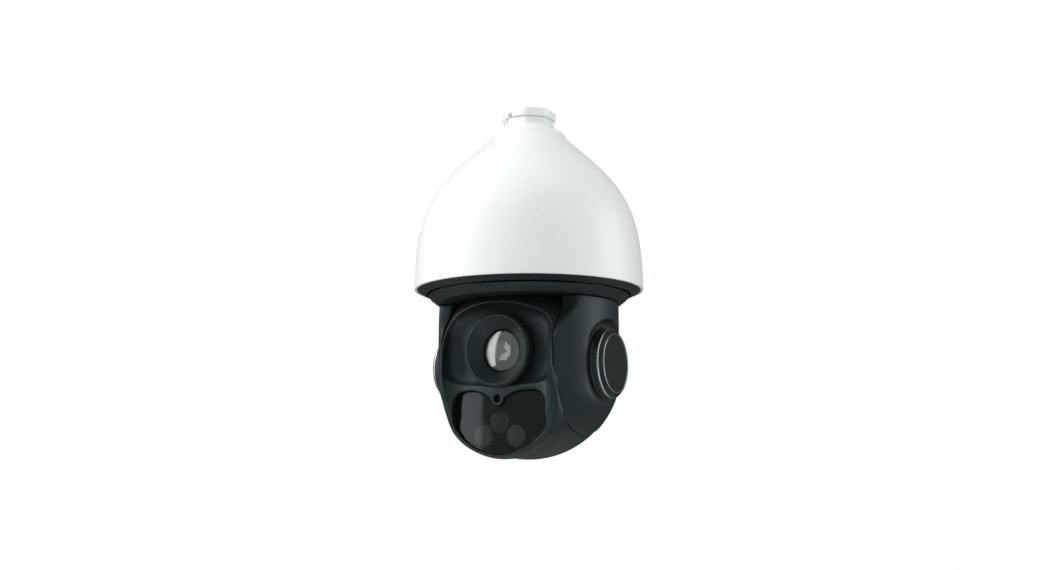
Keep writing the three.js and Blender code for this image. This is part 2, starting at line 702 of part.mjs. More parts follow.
// ---- Lens ----
const bezelFront = faceDepth + bezelDepth;
const bezel = turned([
  [lensThroat, faceDepth - 5], [spigot, faceDepth - 5], [spigot, faceDepth + gap],
  [bezelRadius, faceDepth + gap], [bezelRadius, bezelFront - 1.5], [bezelRadius - 1.2, bezelFront],
  [bezelRadius - 2.5, bezelFront], [bezelRadius - 3.5, bezelFront - 1.2], [lensThroat, faceDepth + 2],
], "forward");
add("lens_bezel", bezel.translate([0, 0, lensHeight]), "black");
const windowRadius = lensThroat - gap;
add("front_window", disc(windowRadius, faceDepth - 2, faceDepth, "forward", smallSides)
  .translate([0, 0, lensHeight]), "glass");
const barrelFront = faceDepth - 6;
add("lens_barrel", ring(barrelRadius - barrelWall, barrelRadius, barrelBack, barrelFront, "forward",
  trimSides)
  .translate([0, 0, lensHeight]), "black");
const lensRadius = barrelRadius - barrelWall - gap;

// A round lens in its ring: flat rim, swollen middle.
function lensGroup(radius, back, front, swell) {
  return turned([
    [0, back], [radius, back], [radius, front - swell], [radius * 0.8, front - swell],
    [radius * 0.5, front - swell * 0.3], [0, front],
  ], "forward", smallSides).translate([0, 0, lensHeight]);
}
add("objective_lens", lensGroup(lensRadius, barrelFront - 8, barrelFront - 1, 3), "glass");
const zoomFront = barrelFront - 9 - zoomTravel;
add("zoom_group", lensGroup(lensRadius, zoomFront - 5, zoomFront, 2), "glass");
const focusFront = zoomFront - 6 - focusTravel;
add("focus_group", lensGroup(lensRadius, focusFront - 4, focusFront, 1.5), "glass");
const filterFront = barrelBack - 1;
add("ir_cut_filter", block([-filterHalf, filterHalf + filterTravel],
  [filterFront - 1.5, filterFront], [lensHeight - filterHalf, lensHeight + filterHalf]), "plastic");
const sensorFront = filterFront - 3;
add("sensor_board", block([-20, 20], [sensorFront - boardThickness, sensorFront],
  [lensHeight - 19, lensHeight + 19]), "board");
const bracketFoot = lensHeight - barrelRadius - gap - 2;
add("camera_bracket", block([-22, 22], [sensorFront - 4, barrelFront], [bracketFoot, bracketFoot + 2])
  .add(block([-22, 22], [sensorFront - 4, sensorFront - boardThickness - gap],
    [bracketFoot, lensHeight + 20])), "aluminium");

// ---- Infrared window, lamps and their board ----
const windowPlate = slab(windowShape(gap), faceDepth - 12, jawDepth + 5, "forward")
  .intersect(jawFront(jawDepth - 0.3))
  .subtract(jawFront(jawDepth - 0.3 - windowThickness));
add("ir_window", windowPlate, "darkGloss");
const lampEdge = lampSide + lampRadius;
const lampSag = jawCurve - Math.sqrt(jawCurve ** 2 - lampEdge ** 2);
const lampFront = jawDepth - windowThickness - lampSag - 3 * gap;
const boardFront = lampFront - 7;
for (const { name, x, drop } of lampSpots) {
  const lens = turned([[0, boardFront + gap], [lampRadius - 3, boardFront + gap],
    [lampRadius, lampFront - 1], [lampRadius, lampFront], [0, lampFront]], "forward", smallSides);
  add(name, lens.translate([x, 0, -drop]), "glass");
}
add("ir_board", slab(jawShape(jawFrame + 6, lobeTop + 4), boardFront - boardThickness, boardFront,
  "forward"), "board");
add("light_sensor", disc(sensorRadius, boardFront + gap, jawDepth - 3, "forward", smallSides)
  .translate([0, 0, -sensorDrop]), "darkGloss");
const sinkFront = boardFront - boardThickness - gap;
let heatSink = slab(jawShape(jawFrame + 10, lobeTop + 8), sinkFront - 3, sinkFront, "forward");
for (let fin = -3; fin <= 3; fin++) {
  const x = fin * finPitch;
  heatSink = heatSink.add(block([x - finThickness / 2, x + finThickness / 2],
    [sinkFront - 14, sinkFront - 2], [-jawArcDrop - 38, -lobeTop - 10]));
}
add("heat_sink", heatSink, "aluminium");

// ---- Circulation fan at the back of the head ----
const fanHalf = fanSide / 2;
const fanBack = -shellSplit - 22;
const fanFront = fanBack + fanDepth;
const fanFrame = block([-fanHalf, fanHalf], [fanBack, fanFront], [-fanHalf, fanHalf])
  .subtract(disc(fanHalf - 1.5, fanBack - cut, fanFront + cut, "forward"))
  .add(disc(fanHub, fanBack, fanBack + 2, "forward", smallSides))
  .add(block([-fanHalf, fanHalf], [fanBack, fanBack + 1.5], [-1.5, 1.5]));
add("fan_frame", fanFrame, "plastic");
let fanRotor = disc(fanHub, fanBack + 2.5, fanFront - 1, "forward", smallSides);
for (let i = 0; i < fanBlades; i++) {
  const blade = block([-0.8, 0.8], [fanBack + 3, fanFront - 1.5], [fanHub - 2, fanHalf - 3]);
  fanRotor = fanRotor.add(blade.rotate([0, (i * 360) / fanBlades, 0]));
}
add("fan_rotor", fanRotor, "plastic");

export default camera;
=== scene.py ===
"""Looks of a hanging infrared speed dome camera, built as an add-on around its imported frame."""

import json
import math

import bmesh
import bpy
import numpy as np
from bpy.props import FloatProperty, FloatVectorProperty, IntProperty, PointerProperty
from mathutils import Matrix, Vector


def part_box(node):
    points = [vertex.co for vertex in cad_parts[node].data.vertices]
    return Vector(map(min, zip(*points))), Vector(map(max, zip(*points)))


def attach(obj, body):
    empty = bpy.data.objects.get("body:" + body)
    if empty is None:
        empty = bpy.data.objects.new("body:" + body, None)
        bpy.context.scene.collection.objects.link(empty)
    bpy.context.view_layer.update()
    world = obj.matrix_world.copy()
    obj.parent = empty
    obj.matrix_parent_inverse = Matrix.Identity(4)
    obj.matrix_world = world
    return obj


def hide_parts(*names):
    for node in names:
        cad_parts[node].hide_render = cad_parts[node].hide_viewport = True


bl_info = {
    "name": "Speed dome camera",
    "version": (1, 0, 0),
    "blender": (4, 5, 0),
    "location": "3D View > Sidebar > Speed dome",
    "description": "Builds the shells, lens, window, finishes and studio of a hanging dome camera",
    "category": "Object",
}

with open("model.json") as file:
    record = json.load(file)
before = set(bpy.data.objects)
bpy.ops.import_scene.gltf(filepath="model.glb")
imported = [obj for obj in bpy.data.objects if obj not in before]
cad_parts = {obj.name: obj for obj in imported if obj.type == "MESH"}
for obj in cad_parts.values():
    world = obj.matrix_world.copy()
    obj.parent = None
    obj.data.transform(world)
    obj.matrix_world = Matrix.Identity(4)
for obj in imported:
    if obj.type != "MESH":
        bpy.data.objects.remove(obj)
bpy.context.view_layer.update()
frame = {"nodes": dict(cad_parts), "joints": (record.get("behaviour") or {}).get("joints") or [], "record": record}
MM = 0.001
TILT = next(j for j in frame["joints"] if j["name"] == "tilt")["pos_m"][2] / MM


def node_box(node):
    """A CAD node's lowest and highest corners in millimetres.

    x goes to the right, f forward, and z up from the tilt axis.
    """
    low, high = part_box(node)
    return ((low.x / MM, -high.y / MM, low.z / MM - TILT), (high.x / MM, -low.y / MM, high.z / MM - TILT))


# The radius that the head is built to. It is the rear shell's reach below the tilt axis, which is
# about 2.5 mm less than the whole ball's, because that shell begins behind the axis.
BALL = -node_box("head_rear_shell")[0][2]
HEAD_HALF = node_box("head_front_shell")[1][0]
HOUSING_LOW, HOUSING_HIGH = node_box("upper_housing")
COLLAR_LOW, COLLAR_HIGH = node_box("neck_collar")
RING_LOW, RING_HIGH = node_box("base_ring")
TABLE_LOW, TABLE_HIGH = node_box("turntable")
ARM_LOW, ARM_HIGH = node_box("right_arm_cover")
CAP_LOW, CAP_HIGH = node_box("right_side_cap")
BAND_LOW, BAND_HIGH = node_box("right_cap_band")
TRIM_LOW, TRIM_HIGH = node_box("right_cap_trim")
BEZEL_LOW, BEZEL_HIGH = node_box("lens_bezel")
GLASS_LOW, GLASS_HIGH = node_box("front_window")
BARREL_LOW, BARREL_HIGH = node_box("lens_barrel")
WINDOW_LOW, WINDOW_HIGH = node_box("ir_window")
SENSOR_LOW, SENSOR_HIGH = node_box("light_sensor")
MIRROR = Matrix.Diagonal((-1.0, 1.0, 1.0, 1.0))  # swaps left and right

# The rear door's screws: across and up from its middle, and the middle's height, in millimetres
DOOR_X, DOOR_Z, DOOR_HEIGHT = 29.0, 33.0, -4.0


# ---- Sizes and colours a user would change ----

def millimetres(name, default, description):
    """A length in millimetres."""
    return FloatProperty(name=name, default=default, min=0.0, description=description)


def colour(name, value, description):
    """A linear colour."""
    return FloatVectorProperty(name=name, default=value, size=3, min=0.0, max=1.0, subtype="COLOR",
                               description=description)


class DomeSizes(bpy.types.PropertyGroup):
    """Sizes of the visible shells."""
    wall: millimetres("Wall", 2.5, "Thickness of every moulded wall")
    mesh_step: millimetres("Mesh step", 1.15, "Spacing of the grid that the shells are meshed on")
    face_depth: millimetres("Face depth", BALL - 35.5, "Recessed face in front of the tilt axis")
    face_half: millimetres("Face half width", HEAD_HALF - 2.6, "Half the width of the recess")
    visor_top: millimetres("Visor height", BALL - 31.5, "Visor's ridge above the tilt axis")
    visor_arch: millimetres("Visor arch", 112.0, "Radius of the ridge seen from the front")
    jaw_curve: millimetres("Jaw curve", 205.0, "Radius of the jaw's front seen from above")
    neck_half: millimetres("Neck half width", 41.0, "Half the arm's width at the turntable")
    neck_fillet: millimetres("Neck fillet", 10.0, "Fillet between the arm's disc and its neck")
    dish_radius: millimetres("Dish radius", 41.3, "Recess around the side cap")
    dish_drop: millimetres("Dish drop", 3.7, "Centre of the recess below the tilt axis")
    throat: millimetres("Lens throat", 18.5, "Radius of the opening in the lens bezel")
    side_count: IntProperty(name="Sides", default=192, min=24, description="Segments of the turned pieces")


class DomeColours(bpy.types.PropertyGroup):
    """Base colours of the finishes."""
    white: colour("Housing white", (0.87, 0.88, 0.875), "Powder coat of the bell and its collar")
    black: colour("Body black", (0.0075, 0.0115, 0.0122), "Satin moulded black")
    window: colour("Window black", (0.004, 0.0055, 0.006), "Infrared window")
    chrome: colour("Trim metal", (0.42, 0.43, 0.43), "Bright rings of the side caps")
    lamp: colour("Lamp grey", (0.5, 0.56, 0.58), "Infrared lamps behind the window")


# ---- Shader writing ----

class Signal:
    """A shader socket that can be used in sums and products."""

    def __init__(self, finish, socket):
        self.finish = finish
        self.socket = socket

    def _math(self, operation, first, second):
        return self.finish.node("ShaderNodeMath", {"operation": operation}, {0: first, 1: second})

    def __add__(self, other):
        return self._math("ADD", self, other)

    def __radd__(self, other):
        return self._math("ADD", other, self)

    def __sub__(self, other):
        return self._math("SUBTRACT", self, other)

    def __rsub__(self, other):
        return self._math("SUBTRACT", other, self)

    def __mul__(self, other):
        return self._math("MULTIPLY", self, other)

    def __rmul__(self, other):
        return self._math("MULTIPLY", other, self)

    def __truediv__(self, other):
        return self._math("DIVIDE", self, other)

    def __pow__(self, other):
        return self._math("POWER", self, other)

    def above(self, edge):
        """1 where the value is over the edge."""
        return self._math("GREATER_THAN", self, edge)


class Finish:
    """One material and the nodes it is made of."""

    def __init__(self, name):
        self.material = bpy.data.materials.new(name)
        self.material.use_nodes = True
        self.tree = self.material.node_tree
        self.tree.nodes.clear()
        self.output = self.tree.nodes.new("ShaderNodeOutputMaterial")
        self.shader = self.tree.nodes.new("ShaderNodeBsdfPrincipled")
        self.tree.links.new(self.shader.outputs[0], self.output.inputs["Surface"])
        self.place = self.node("ShaderNodeTexCoord", {}, {}, "Object")

    def node(self, kind, settings, values, output=0):
        """Adds a node: its settings first, then its sockets' values or links. Returns one output."""
        node = self.tree.nodes.new(kind)
        for key, value in settings.items():
            if key == "stops":
                ramp = node.color_ramp
                while len(ramp.elements) > 1:
                    ramp.elements.remove(ramp.elements[0])
                for index, (position, shade) in enumerate(value):
                    element = ramp.elements[0] if index == 0 else ramp.elements.new(position)
                    element.position = position
                    element.color = (*shade, 1.0) if isinstance(shade, tuple) else (shade, shade, shade, 1.0)
            else:
                setattr(node, key, value)
        for key, value in values.items():
            self.set_socket(node.inputs[key], value)
        return Signal(self, node.outputs[output])

    def set_socket(self, socket, value):
        """Links a signal to a socket, or sets a plain value on it."""
        if isinstance(value, Signal):
            self.tree.links.new(value.socket, socket)
        elif isinstance(value, tuple) and len(value) == 3 and socket.type == "RGBA":
            socket.default_value = (*value, 1.0)
        else:
            socket.default_value = value

    def set(self, **values):
        """Sets the Principled shader's sockets, named with underscores for spaces."""
        for key, value in values.items():
            self.set_socket(self.shader.inputs[key.replace("_", " ")], value)
        return self

    def noise(self, scale, detail=3.0, roughness=0.55, stretch=(1.0, 1.0, 1.0)):
        """Noise over the piece's own coordinates, scale in cells per metre."""
        place = self.place
        if stretch != (1.0, 1.0, 1.0):
            place = self.node("ShaderNodeMapping", {}, {"Vector": self.place, "Scale": stretch})
        return self.node("ShaderNodeTexNoise", {}, {
            "Vector": place, "Scale": scale, "Detail": detail, "Roughness": roughness})

    def grains(self, scale, feature="F1"):
        """Distance to scattered cells, scale in cells per metre."""
        return self.node("ShaderNodeTexVoronoi", {"feature": feature}, {"Vector": self.place, "Scale": scale})

    def blend(self, factor, first, second):
        """A colour between two colours."""
        mixed = self.node("ShaderNodeMix", {"data_type": "RGBA"}, {"Factor": factor})
        node = mixed.socket.node
        self.set_socket(node.inputs[6], first)
        self.set_socket(node.inputs[7], second)
        return Signal(self, node.outputs[2])

    def ramp(self, factor, stops):
        """A colour ramp on a value."""
        return self.node("ShaderNodeValToRGB", {"stops": stops}, {"Fac": factor})

    def bump(self, height, distance, strength=1.0, normal=None):
        """A normal bumped by a height, with the height's reach in metres."""
        values = {"Height": height, "Distance": distance, "Strength": strength}
        if normal:
            values["Normal"] = normal
        return self.node("ShaderNodeBump", {}, values)


def tinted(value, factor):
    """A colour made lighter or darker."""
    return tuple(min(1.0, channel * factor) for channel in value)


def painted_white(name, shade):
    """Powder coat: faint orange peel, fine flow marks and a few scattered dust specks."""
    finish = Finish(name)
    cloud = finish.noise(9.0, 4.0)
    peel = finish.noise(520.0, 2.0, 0.4)
    fine = finish.noise(2600.0, 2.0)
    base = finish.blend(cloud, tinted(shade, 0.985), tinted(shade, 1.015))
    specks = finish.grains(900.0).above(0.62) * finish.noise(60.0).above(0.62)
    base = finish.blend(specks * 0.12, base, tinted(shade, 0.8))
    normal = finish.bump(peel * 0.7 + fine * 0.3, 0.00012, 0.35)
    return finish.set(Base_Color=base, Roughness=0.34 + cloud * 0.1 + fine * 0.04, Normal=normal,
                      Coat_Weight=0.12, Coat_Roughness=0.25).material


def satin_black(name, shade, roughness=0.4, grain=1.0):
    """Moulded black: spark-eroded grain, faint flow clouds and rubbed patches."""
    finish = Finish(name)
    cloud = finish.noise(14.0, 5.0)
    rubbed = finish.noise(42.0, 4.0, 0.62)
    pits = finish.grains(1700.0)
    fine = finish.noise(3400.0, 2.0)
    base = finish.blend(cloud, tinted(shade, 0.8), tinted(shade, 1.25))
    base = finish.blend(rubbed.above(0.66) * 0.25, base, tinted(shade, 1.9))
    height = pits * 0.6 + fine * 0.4
    normal = finish.bump(height, 0.00006 * grain, 0.4)
    return finish.set(Base_Color=base, Roughness=roughness - 0.05 + rubbed * 0.13 + fine * 0.03,
                      Normal=normal, Specular_IOR_Level=0.34, Specular_Tint=(0.72, 0.97, 1.0)).material


def gloss_window(name, shade):
    """Infrared window: nearly black, polished, a little light passes to the lamps behind."""
    finish = Finish(name)
    smear = finish.noise(26.0, 5.0, 0.6, (1.0, 1.0, 0.35))
    dust = finish.grains(700.0).above(0.68) * finish.noise(90.0).above(0.55)
    base = finish.blend(dust * 0.2, shade, (0.05, 0.055, 0.055))
    return finish.set(Base_Color=base, Roughness=0.06 + smear * 0.07 + dust * 0.2, Alpha=0.8,
                      Specular_IOR_Level=0.24, Specular_Tint=(0.8, 0.98, 1.0)).material


def bright_metal(name, shade, roughness=0.16, turned=True):
    """Plated or turned metal with fine tool marks."""
    finish = Finish(name)
    cloud = finish.noise(60.0, 4.0)
    marks = finish.noise(900.0, 2.0, 0.5, (1.0, 1.0, 0.08) if turned else (0.08, 1.0, 1.0))
    base = finish.blend(cloud, tinted(shade, 0.88), tinted(shade, 1.08))
    normal = finish.bump(marks, 0.00003, 0.3)
    return finish.set(Base_Color=base, Metallic=1.0, Roughness=roughness + marks * 0.12 + cloud * 0.05,
                      Normal=normal).material


def coated_glass(name, tint, alpha=0.22, roughness=0.02):
    """Coated lens glass: mostly clear, a faint coloured bloom and a trace of dust."""
    finish = Finish(name)
    dust = finish.grains(1200.0).above(0.7) * finish.noise(120.0).above(0.5)
    cloud = finish.noise(40.0, 3.0)
    base = finish.blend(cloud, tinted(tint, 0.7), tint)
    rough = roughness + cloud * 0.02 + dust * 0.2
    return finish.set(Base_Color=base, Roughness=rough, Alpha=alpha + dust * 0.05,
                      Metallic=1.0, Coat_Weight=0.3, Coat_Roughness=0.01, IOR=1.6).material


def soft_rubber(name):
    """Matt rubber with a chalky bloom."""
    finish = Finish(name)
    bloom = finish.noise(80.0, 5.0)
    fine = finish.noise(2500.0, 2.0)
    base = finish.blend(bloom, (0.012, 0.012, 0.012), (0.035, 0.035, 0.034))
    return finish.set(Base_Color=base, Roughness=0.72 + bloom * 0.15,
                      Normal=finish.bump(fine, 0.00008, 0.4)).material


def circuit_green(name):
    """Solder mask with tracks, pads and a speckle of small parts."""
    finish = Finish(name)
    tracks = finish.node("ShaderNodeTexBrick", {"offset": 0.5}, {
        "Vector": finish.place, "Scale": 160.0, "Mortar Size": 0.06, "Color1": (0.0, 0.0, 0.0),
        "Color2": (0.0, 0.0, 0.0), "Mortar": (1.0, 1.0, 1.0)}, "Fac")
    pads = 1.0 - finish.grains(420.0).above(0.22)
    mask = finish.blend(tracks * 0.6, (0.008, 0.07, 0.03), (0.02, 0.16, 0.06))
    base = finish.blend(pads, mask, (0.55, 0.5, 0.36))
    return finish.set(Base_Color=base, Roughness=0.32 + finish.noise(200.0) * 0.15, Metallic=pads * 0.7,
                      Normal=finish.bump(tracks * 0.5 + pads, 0.0001, 0.5)).material


def lamp_glass(name, shade):
    """Moulded lamp lens: grey, with fine concentric steps."""
    finish = Finish(name)
    cloud = finish.noise(160.0, 3.0)
    steps = finish.grains(900.0)
    base = finish.blend(cloud, tinted(shade, 0.85), tinted(shade, 1.1))
    return finish.set(Base_Color=base, Roughness=0.25 + steps * 0.2,
                      Normal=finish.bump(steps, 0.0001, 0.3)).material


FINISHES = {}


def finish_named(name):
    """A finish, made the first time it is asked for."""
    shades = bpy.context.scene.dome_colours
    makers = {
        "housing_white": lambda: painted_white("housing_white", tuple(shades.white)),
        "body_black": lambda: satin_black("body_black", tuple(shades.black)),
        "bezel_black": lambda: satin_black("bezel_black", tuple(shades.black), 0.38, 0.6),
        "cap_black": lambda: satin_black("cap_black", tinted(tuple(shades.black), 0.8), 0.3, 0.5),
        "baffle_black": lambda: satin_black("baffle_black", tinted(tuple(shades.black), 0.4), 0.6, 1.5),
        "window_dark": lambda: gloss_window("window_dark", tuple(shades.window)),
        "trim_chrome": lambda: bright_metal("trim_chrome", tuple(shades.chrome)),
        "lens_glass": lambda: coated_glass("lens_glass", (0.3, 0.33, 0.325), 0.36),
        "inner_glass": lambda: coated_glass("inner_glass", (0.05, 0.09, 0.08), 0.85, 0.05),
        "lamp_lens": lambda: lamp_glass("lamp_lens", tuple(shades.lamp)),
        "seal_rubber": lambda: soft_rubber("seal_rubber"),
        "steel_parts": lambda: bright_metal("steel_parts", (0.42, 0.43, 0.44), 0.28, False),
        "screw_steel": lambda: bright_metal("screw_steel", (0.3, 0.3, 0.31), 0.3, False),
        "iris_metal": lambda: bright_metal("iris_metal", (0.36, 0.4, 0.39), 0.02, False),
        "aluminium_parts": lambda: bright_metal("aluminium_parts", (0.6, 0.61, 0.62), 0.38, False),
        "circuit_board": lambda: circuit_green("circuit_board"),
        "inner_plastic": lambda: satin_black("inner_plastic", (0.03, 0.032, 0.034), 0.5),
    }
    if name not in FINISHES:
        FINISHES[name] = makers[name]()
    return FINISHES[name]


# ---- Mesh writing ----

def keep(name, mesh, finish, body, replaced=()):
    """Makes the mesh an object with a finish, riding on a body and standing for CAD nodes."""
    piece = bpy.data.objects.new(name, mesh)
    bpy.context.scene.collection.objects.link(piece)
    mesh.materials.clear()
    mesh.materials.append(finish_named(finish))
    mesh.shade_smooth()
    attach(piece, body)
    if replaced:
        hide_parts(*replaced)
    return piece


def to_metres(points):
    """Row coordinates in metres from x, forward and height above the tilt axis in millimetres."""
    points = np.asarray(points, float).reshape(-1, 3)
    return np.stack([points[:, 0], -points[:, 1], points[:, 2] + TILT], -1) * MM


def mesh_from(name, points, faces):
    """A mesh from points in millimetres, with its normals pointing out."""
    mesh = bpy.data.meshes.new(name)
    mesh.from_pydata(to_metres(points).tolist(), [], faces)
    work = bmesh.new()
    work.from_mesh(mesh)
    bmesh.ops.remove_doubles(work, verts=work.verts, dist=1e-7)
    bmesh.ops.recalc_face_normals(work, faces=work.faces)
    work.to_mesh(mesh)
    work.free()
    return mesh


def rounded(corners, steps=5):
    """A closed profile from (radius, height, fillet) corners, each fillet as an arc."""
    points = []
    count = len(corners)
    for index, (r, h, fillet) in enumerate(corners):
        here = np.array([r, h], float)
        if fillet <= 0.0:
            points.append(tuple(here))
            continue
        before = np.array(corners[index - 1][:2], float) - here
        after = np.array(corners[(index + 1) % count][:2], float) - here
        long_before, long_after = np.linalg.norm(before), np.linalg.norm(after)
        before, after = before / long_before, after / long_after
        half = math.acos(max(-1.0, min(1.0, float(before @ after)))) / 2.0
        if half > math.pi / 2.0 - 0.02:
            points.append(tuple(here))
            continue
        reach = min(fillet / math.tan(half), 0.49 * long_before, 0.49 * long_after)
        start, end = here + before * reach, here + after * reach
        for step in range(steps + 1):
            t = step / steps
            points.append(tuple((1 - t) ** 2 * start + 2 * t * (1 - t) * here + t * t * end))
    return points


def turned(name, profile, axis="z", centre=(0.0, 0.0, 0.0), sides=None, reshape=None, start=0.0):
    """Turns a profile of (radius, height) about z, x or forward. It closes on itself or ends on the axis."""
    sides = sides or bpy.context.scene.dome_sizes.side_count
    rings, points, faces = [], [], []
    on_axis = False
    for r, h in profile:
        if r < 1e-6:
            on_axis = True
            rings.append([len(points)] * sides)
            points.append((0.0, 0.0, h))
            continue
        ring = []
        for side in range(sides):
            angle = start + 2.0 * math.pi * side / sides
            radius = reshape(r, h, angle) if reshape else r
            ring.append(len(points))
            points.append((radius * math.cos(angle), radius * math.sin(angle), h))
        rings.append(ring)
    following = rings[1:] if on_axis else rings[1:] + rings[:1]
    for low, high in zip(rings, following):
        for side in range(sides):
            other = (side + 1) % sides
            corner = [low[side], low[other], high[other], high[side]]
            unique = list(dict.fromkeys(corner))
            if len(unique) > 2:
                faces.append(unique)
    along = {"z": (0, 1, 2), "x": (2, 0, 1), "forward": (0, 2, 1)}[axis]
    placed = [tuple(point[along[i]] + centre[i] for i in range(3)) for point in points]
    return mesh_from(name, placed, faces)


def surface_mesh(name, distance, low, high, step):
    """A closed mesh of the surface where a distance function is zero, on a grid inside a box."""
    low, high = np.array(low, float), np.array(high, float)
    counts = np.ceil((high - low) / step).astype(int) + 1
    ticks = [low[i] + step * np.arange(counts[i]) for i in range(3)]
    field = distance(*np.meshgrid(*ticks, indexing="ij"))
    inside = field < 0.0
    cells = tuple(n - 1 for n in field.shape)
    total = np.zeros(cells + (3,))
    hits = np.zeros(cells)

    def corner(array, offset):
        return array[tuple(slice(o, o + n) for o, n in zip(offset, cells))]

    for axis in range(3):
        for a in (0, 1):
            for b in (0, 1):
                start = [a, b]
                start.insert(axis, 0)
                end = list(start)
                end[axis] = 1
                first, second = corner(field, start), corner(field, end)
                crossed = corner(inside, start) != corner(inside, end)
                share = np.where(crossed, first / np.where(crossed, first - second, 1.0), 0.0)
                for k in range(3):
                    total[..., k] += np.where(crossed, start[k] + (share if k == axis else 0.0), 0.0)
                hits += crossed
    used = hits > 0
    index = -np.ones(cells, int)
    index[used] = np.arange(used.sum())
    where = np.argwhere(used)
    points = low + step * (where + total[used] / hits[used][:, None])
    points = settled(points, distance, step)
    faces = []
    for axis in range(3):
        one, two = [k for k in range(3) if k != axis]
        a = [slice(None)] * 3
        b = [slice(None)] * 3
        a[axis], b[axis] = slice(0, -1), slice(1, None)
        crossed = np.argwhere(inside[tuple(a)] != inside[tuple(b)])
        crossed = crossed[(crossed[:, one] > 0) & (crossed[:, two] > 0)]
        back_one, back_two = np.zeros(3, int), np.zeros(3, int)
        back_one[one], back_two[two] = 1, 1
        corners = [crossed - back_one - back_two, crossed - back_two, crossed, crossed - back_one]
        quads = np.stack([index[tuple(c.T)] for c in corners], -1)
        out = inside[tuple(crossed.T)]
        if axis == 1:
            out = ~out
        quads[~out] = quads[~out][:, ::-1]
        faces.append(quads)
    mesh = bpy.data.meshes.new(name)
    quads = np.concatenate(faces)
    place = to_metres(points)
    mesh.vertices.add(len(place))
    mesh.vertices.foreach_set("co", place.ravel())
    mesh.loops.add(quads.size)
    # Forward is -Y, so the mirrored frame turns every face round.
    mesh.loops.foreach_set("vertex_index", quads[:, ::-1].ravel())
    mesh.polygons.add(len(quads))
    mesh.polygons.foreach_set("loop_start", np.arange(0, quads.size, 4))
    mesh.update(calc_edges=True)
    mesh.validate()
    return mesh


def settled(points, distance, step):
    """Moves points onto the surface of a distance function."""
    reach = 0.05 * step
    for _ in range(3):
        here = distance(*points.T)
        slope = np.stack([
            distance(*(points + reach * axis).T) - distance(*(points - reach * axis).T)
            for axis in np.eye(3)], -1) / (2.0 * reach)
        size = np.maximum((slope ** 2).sum(-1), 0.05)
        move = -(here / size)[:, None] * slope
        length = np.linalg.norm(move, axis=1)[:, None]
        points = points + move * np.minimum(1.0, 0.35 * step / np.maximum(length, 1e-9))
    return points


def joined(a, b, fillet):
    """Union of two distances with a fillet."""
    if np.max(fillet) <= 0.0:
        return np.minimum(a, b)
    share = np.maximum(fillet - np.abs(a - b), 0.0) / fillet
    return np.minimum(a, b) - share * share * fillet * 0.25


def common(a, b, fillet=0.0):
    """What two distances share, with a rounded edge."""
    return -joined(-a, -b, fillet)


def without(a, b, fillet=0.0):
    """The first distance with the second cut away, with a rounded edge."""
    return common(a, -b, fillet)


# ---- Housing ----

def bell_points(inset, steps):
    """The bell's side from the rim up to the shoulder, moved in by a wall."""
    rim = np.array([HOUSING_HIGH[0], HOUSING_LOW[2]])
    shoulder = np.array([36.2, HOUSING_LOW[2] + 142.0])
    slope = math.radians(-42.0)
    downhill = np.array([math.cos(slope), math.sin(slope)])
    handles = [rim, rim + (0.0, 80.0), shoulder + 68.0 * downhill, shoulder]
    points = []
    for step in range(steps + 1):
        t = step / steps
        weights = ((1 - t) ** 3, 3 * t * (1 - t) ** 2, 3 * t * t * (1 - t), t ** 3)
        slopes = ((1 - t) ** 2, 2 * t * (1 - t), t * t)
        p = sum(c * w for c, w in zip(handles, weights))
        along = sum((handles[k + 1] - handles[k]) * w for k, w in enumerate(slopes))
        along /= np.linalg.norm(along)
        points.append((p[0] - inset * along[1], p[1] + inset * along[0]))
    return points


def eight_sided(radius, angle):
    """Distance from the axis to the side of an octagon of that inner radius."""
    turn = (angle + math.pi / 8) % (math.pi / 4) - math.pi / 8
    return radius / math.cos(turn)


class DOME_OT_housing(bpy.types.Operator):
    """Turn the white bell with its shoulder and eight-sided neck"""
    bl_idname = "dome.housing"
    bl_label = "Housing"

    def execute(self, context):
        sizes = context.scene.dome_sizes
        neck_top = HOUSING_HIGH[2]
        foot = neck_top - 7.2
        neck = 22.0
        bore = 14.0
        outside = bell_points(0.0, 56)
        rim_radius, rim_height = outside[0]
        rim_inside = rim_radius - sizes.wall
        lip = rounded([(rim_inside, rim_height + 6, 0), (rim_inside, rim_height, 0.7),
                       (rim_radius, rim_height, 0.9), (rim_radius, rim_height + 6, 0)])[1:-1]
        top_radius, top_height = outside[-1]
        shoulder = rounded([(*outside[-2], 0), (top_radius, top_height, 1.0), (33.6, top_height + 5.4, 4.0),
                            (27.0, foot - 2.6, 3.0), (neck, foot + 0.5, 3.0), (neck, neck_top, 0.6),
                            (bore, neck_top, 0.6), (bore, foot - 1, 2.0),
                            (top_radius - 6, top_height + 2, 2.0)])
        inside = bell_points(sizes.wall, 30)[::-1]
        profile = lip + outside[2:-1] + shoulder[1:] + inside[:-2]

        def facet(radius, height, angle):
            share = min(1.0, max(0.0, (height - foot + 3.0) / 5.0)) if radius > bore + 1 else 0.0
            return radius + share * 0.8 * (eight_sided(radius * 0.985, angle) - radius)

        mesh = turned("housing_bell", profile, reshape=facet)
        keep("housing_bell", mesh, "housing_white", "housing", ["upper_housing"])
        return {"FINISHED"}


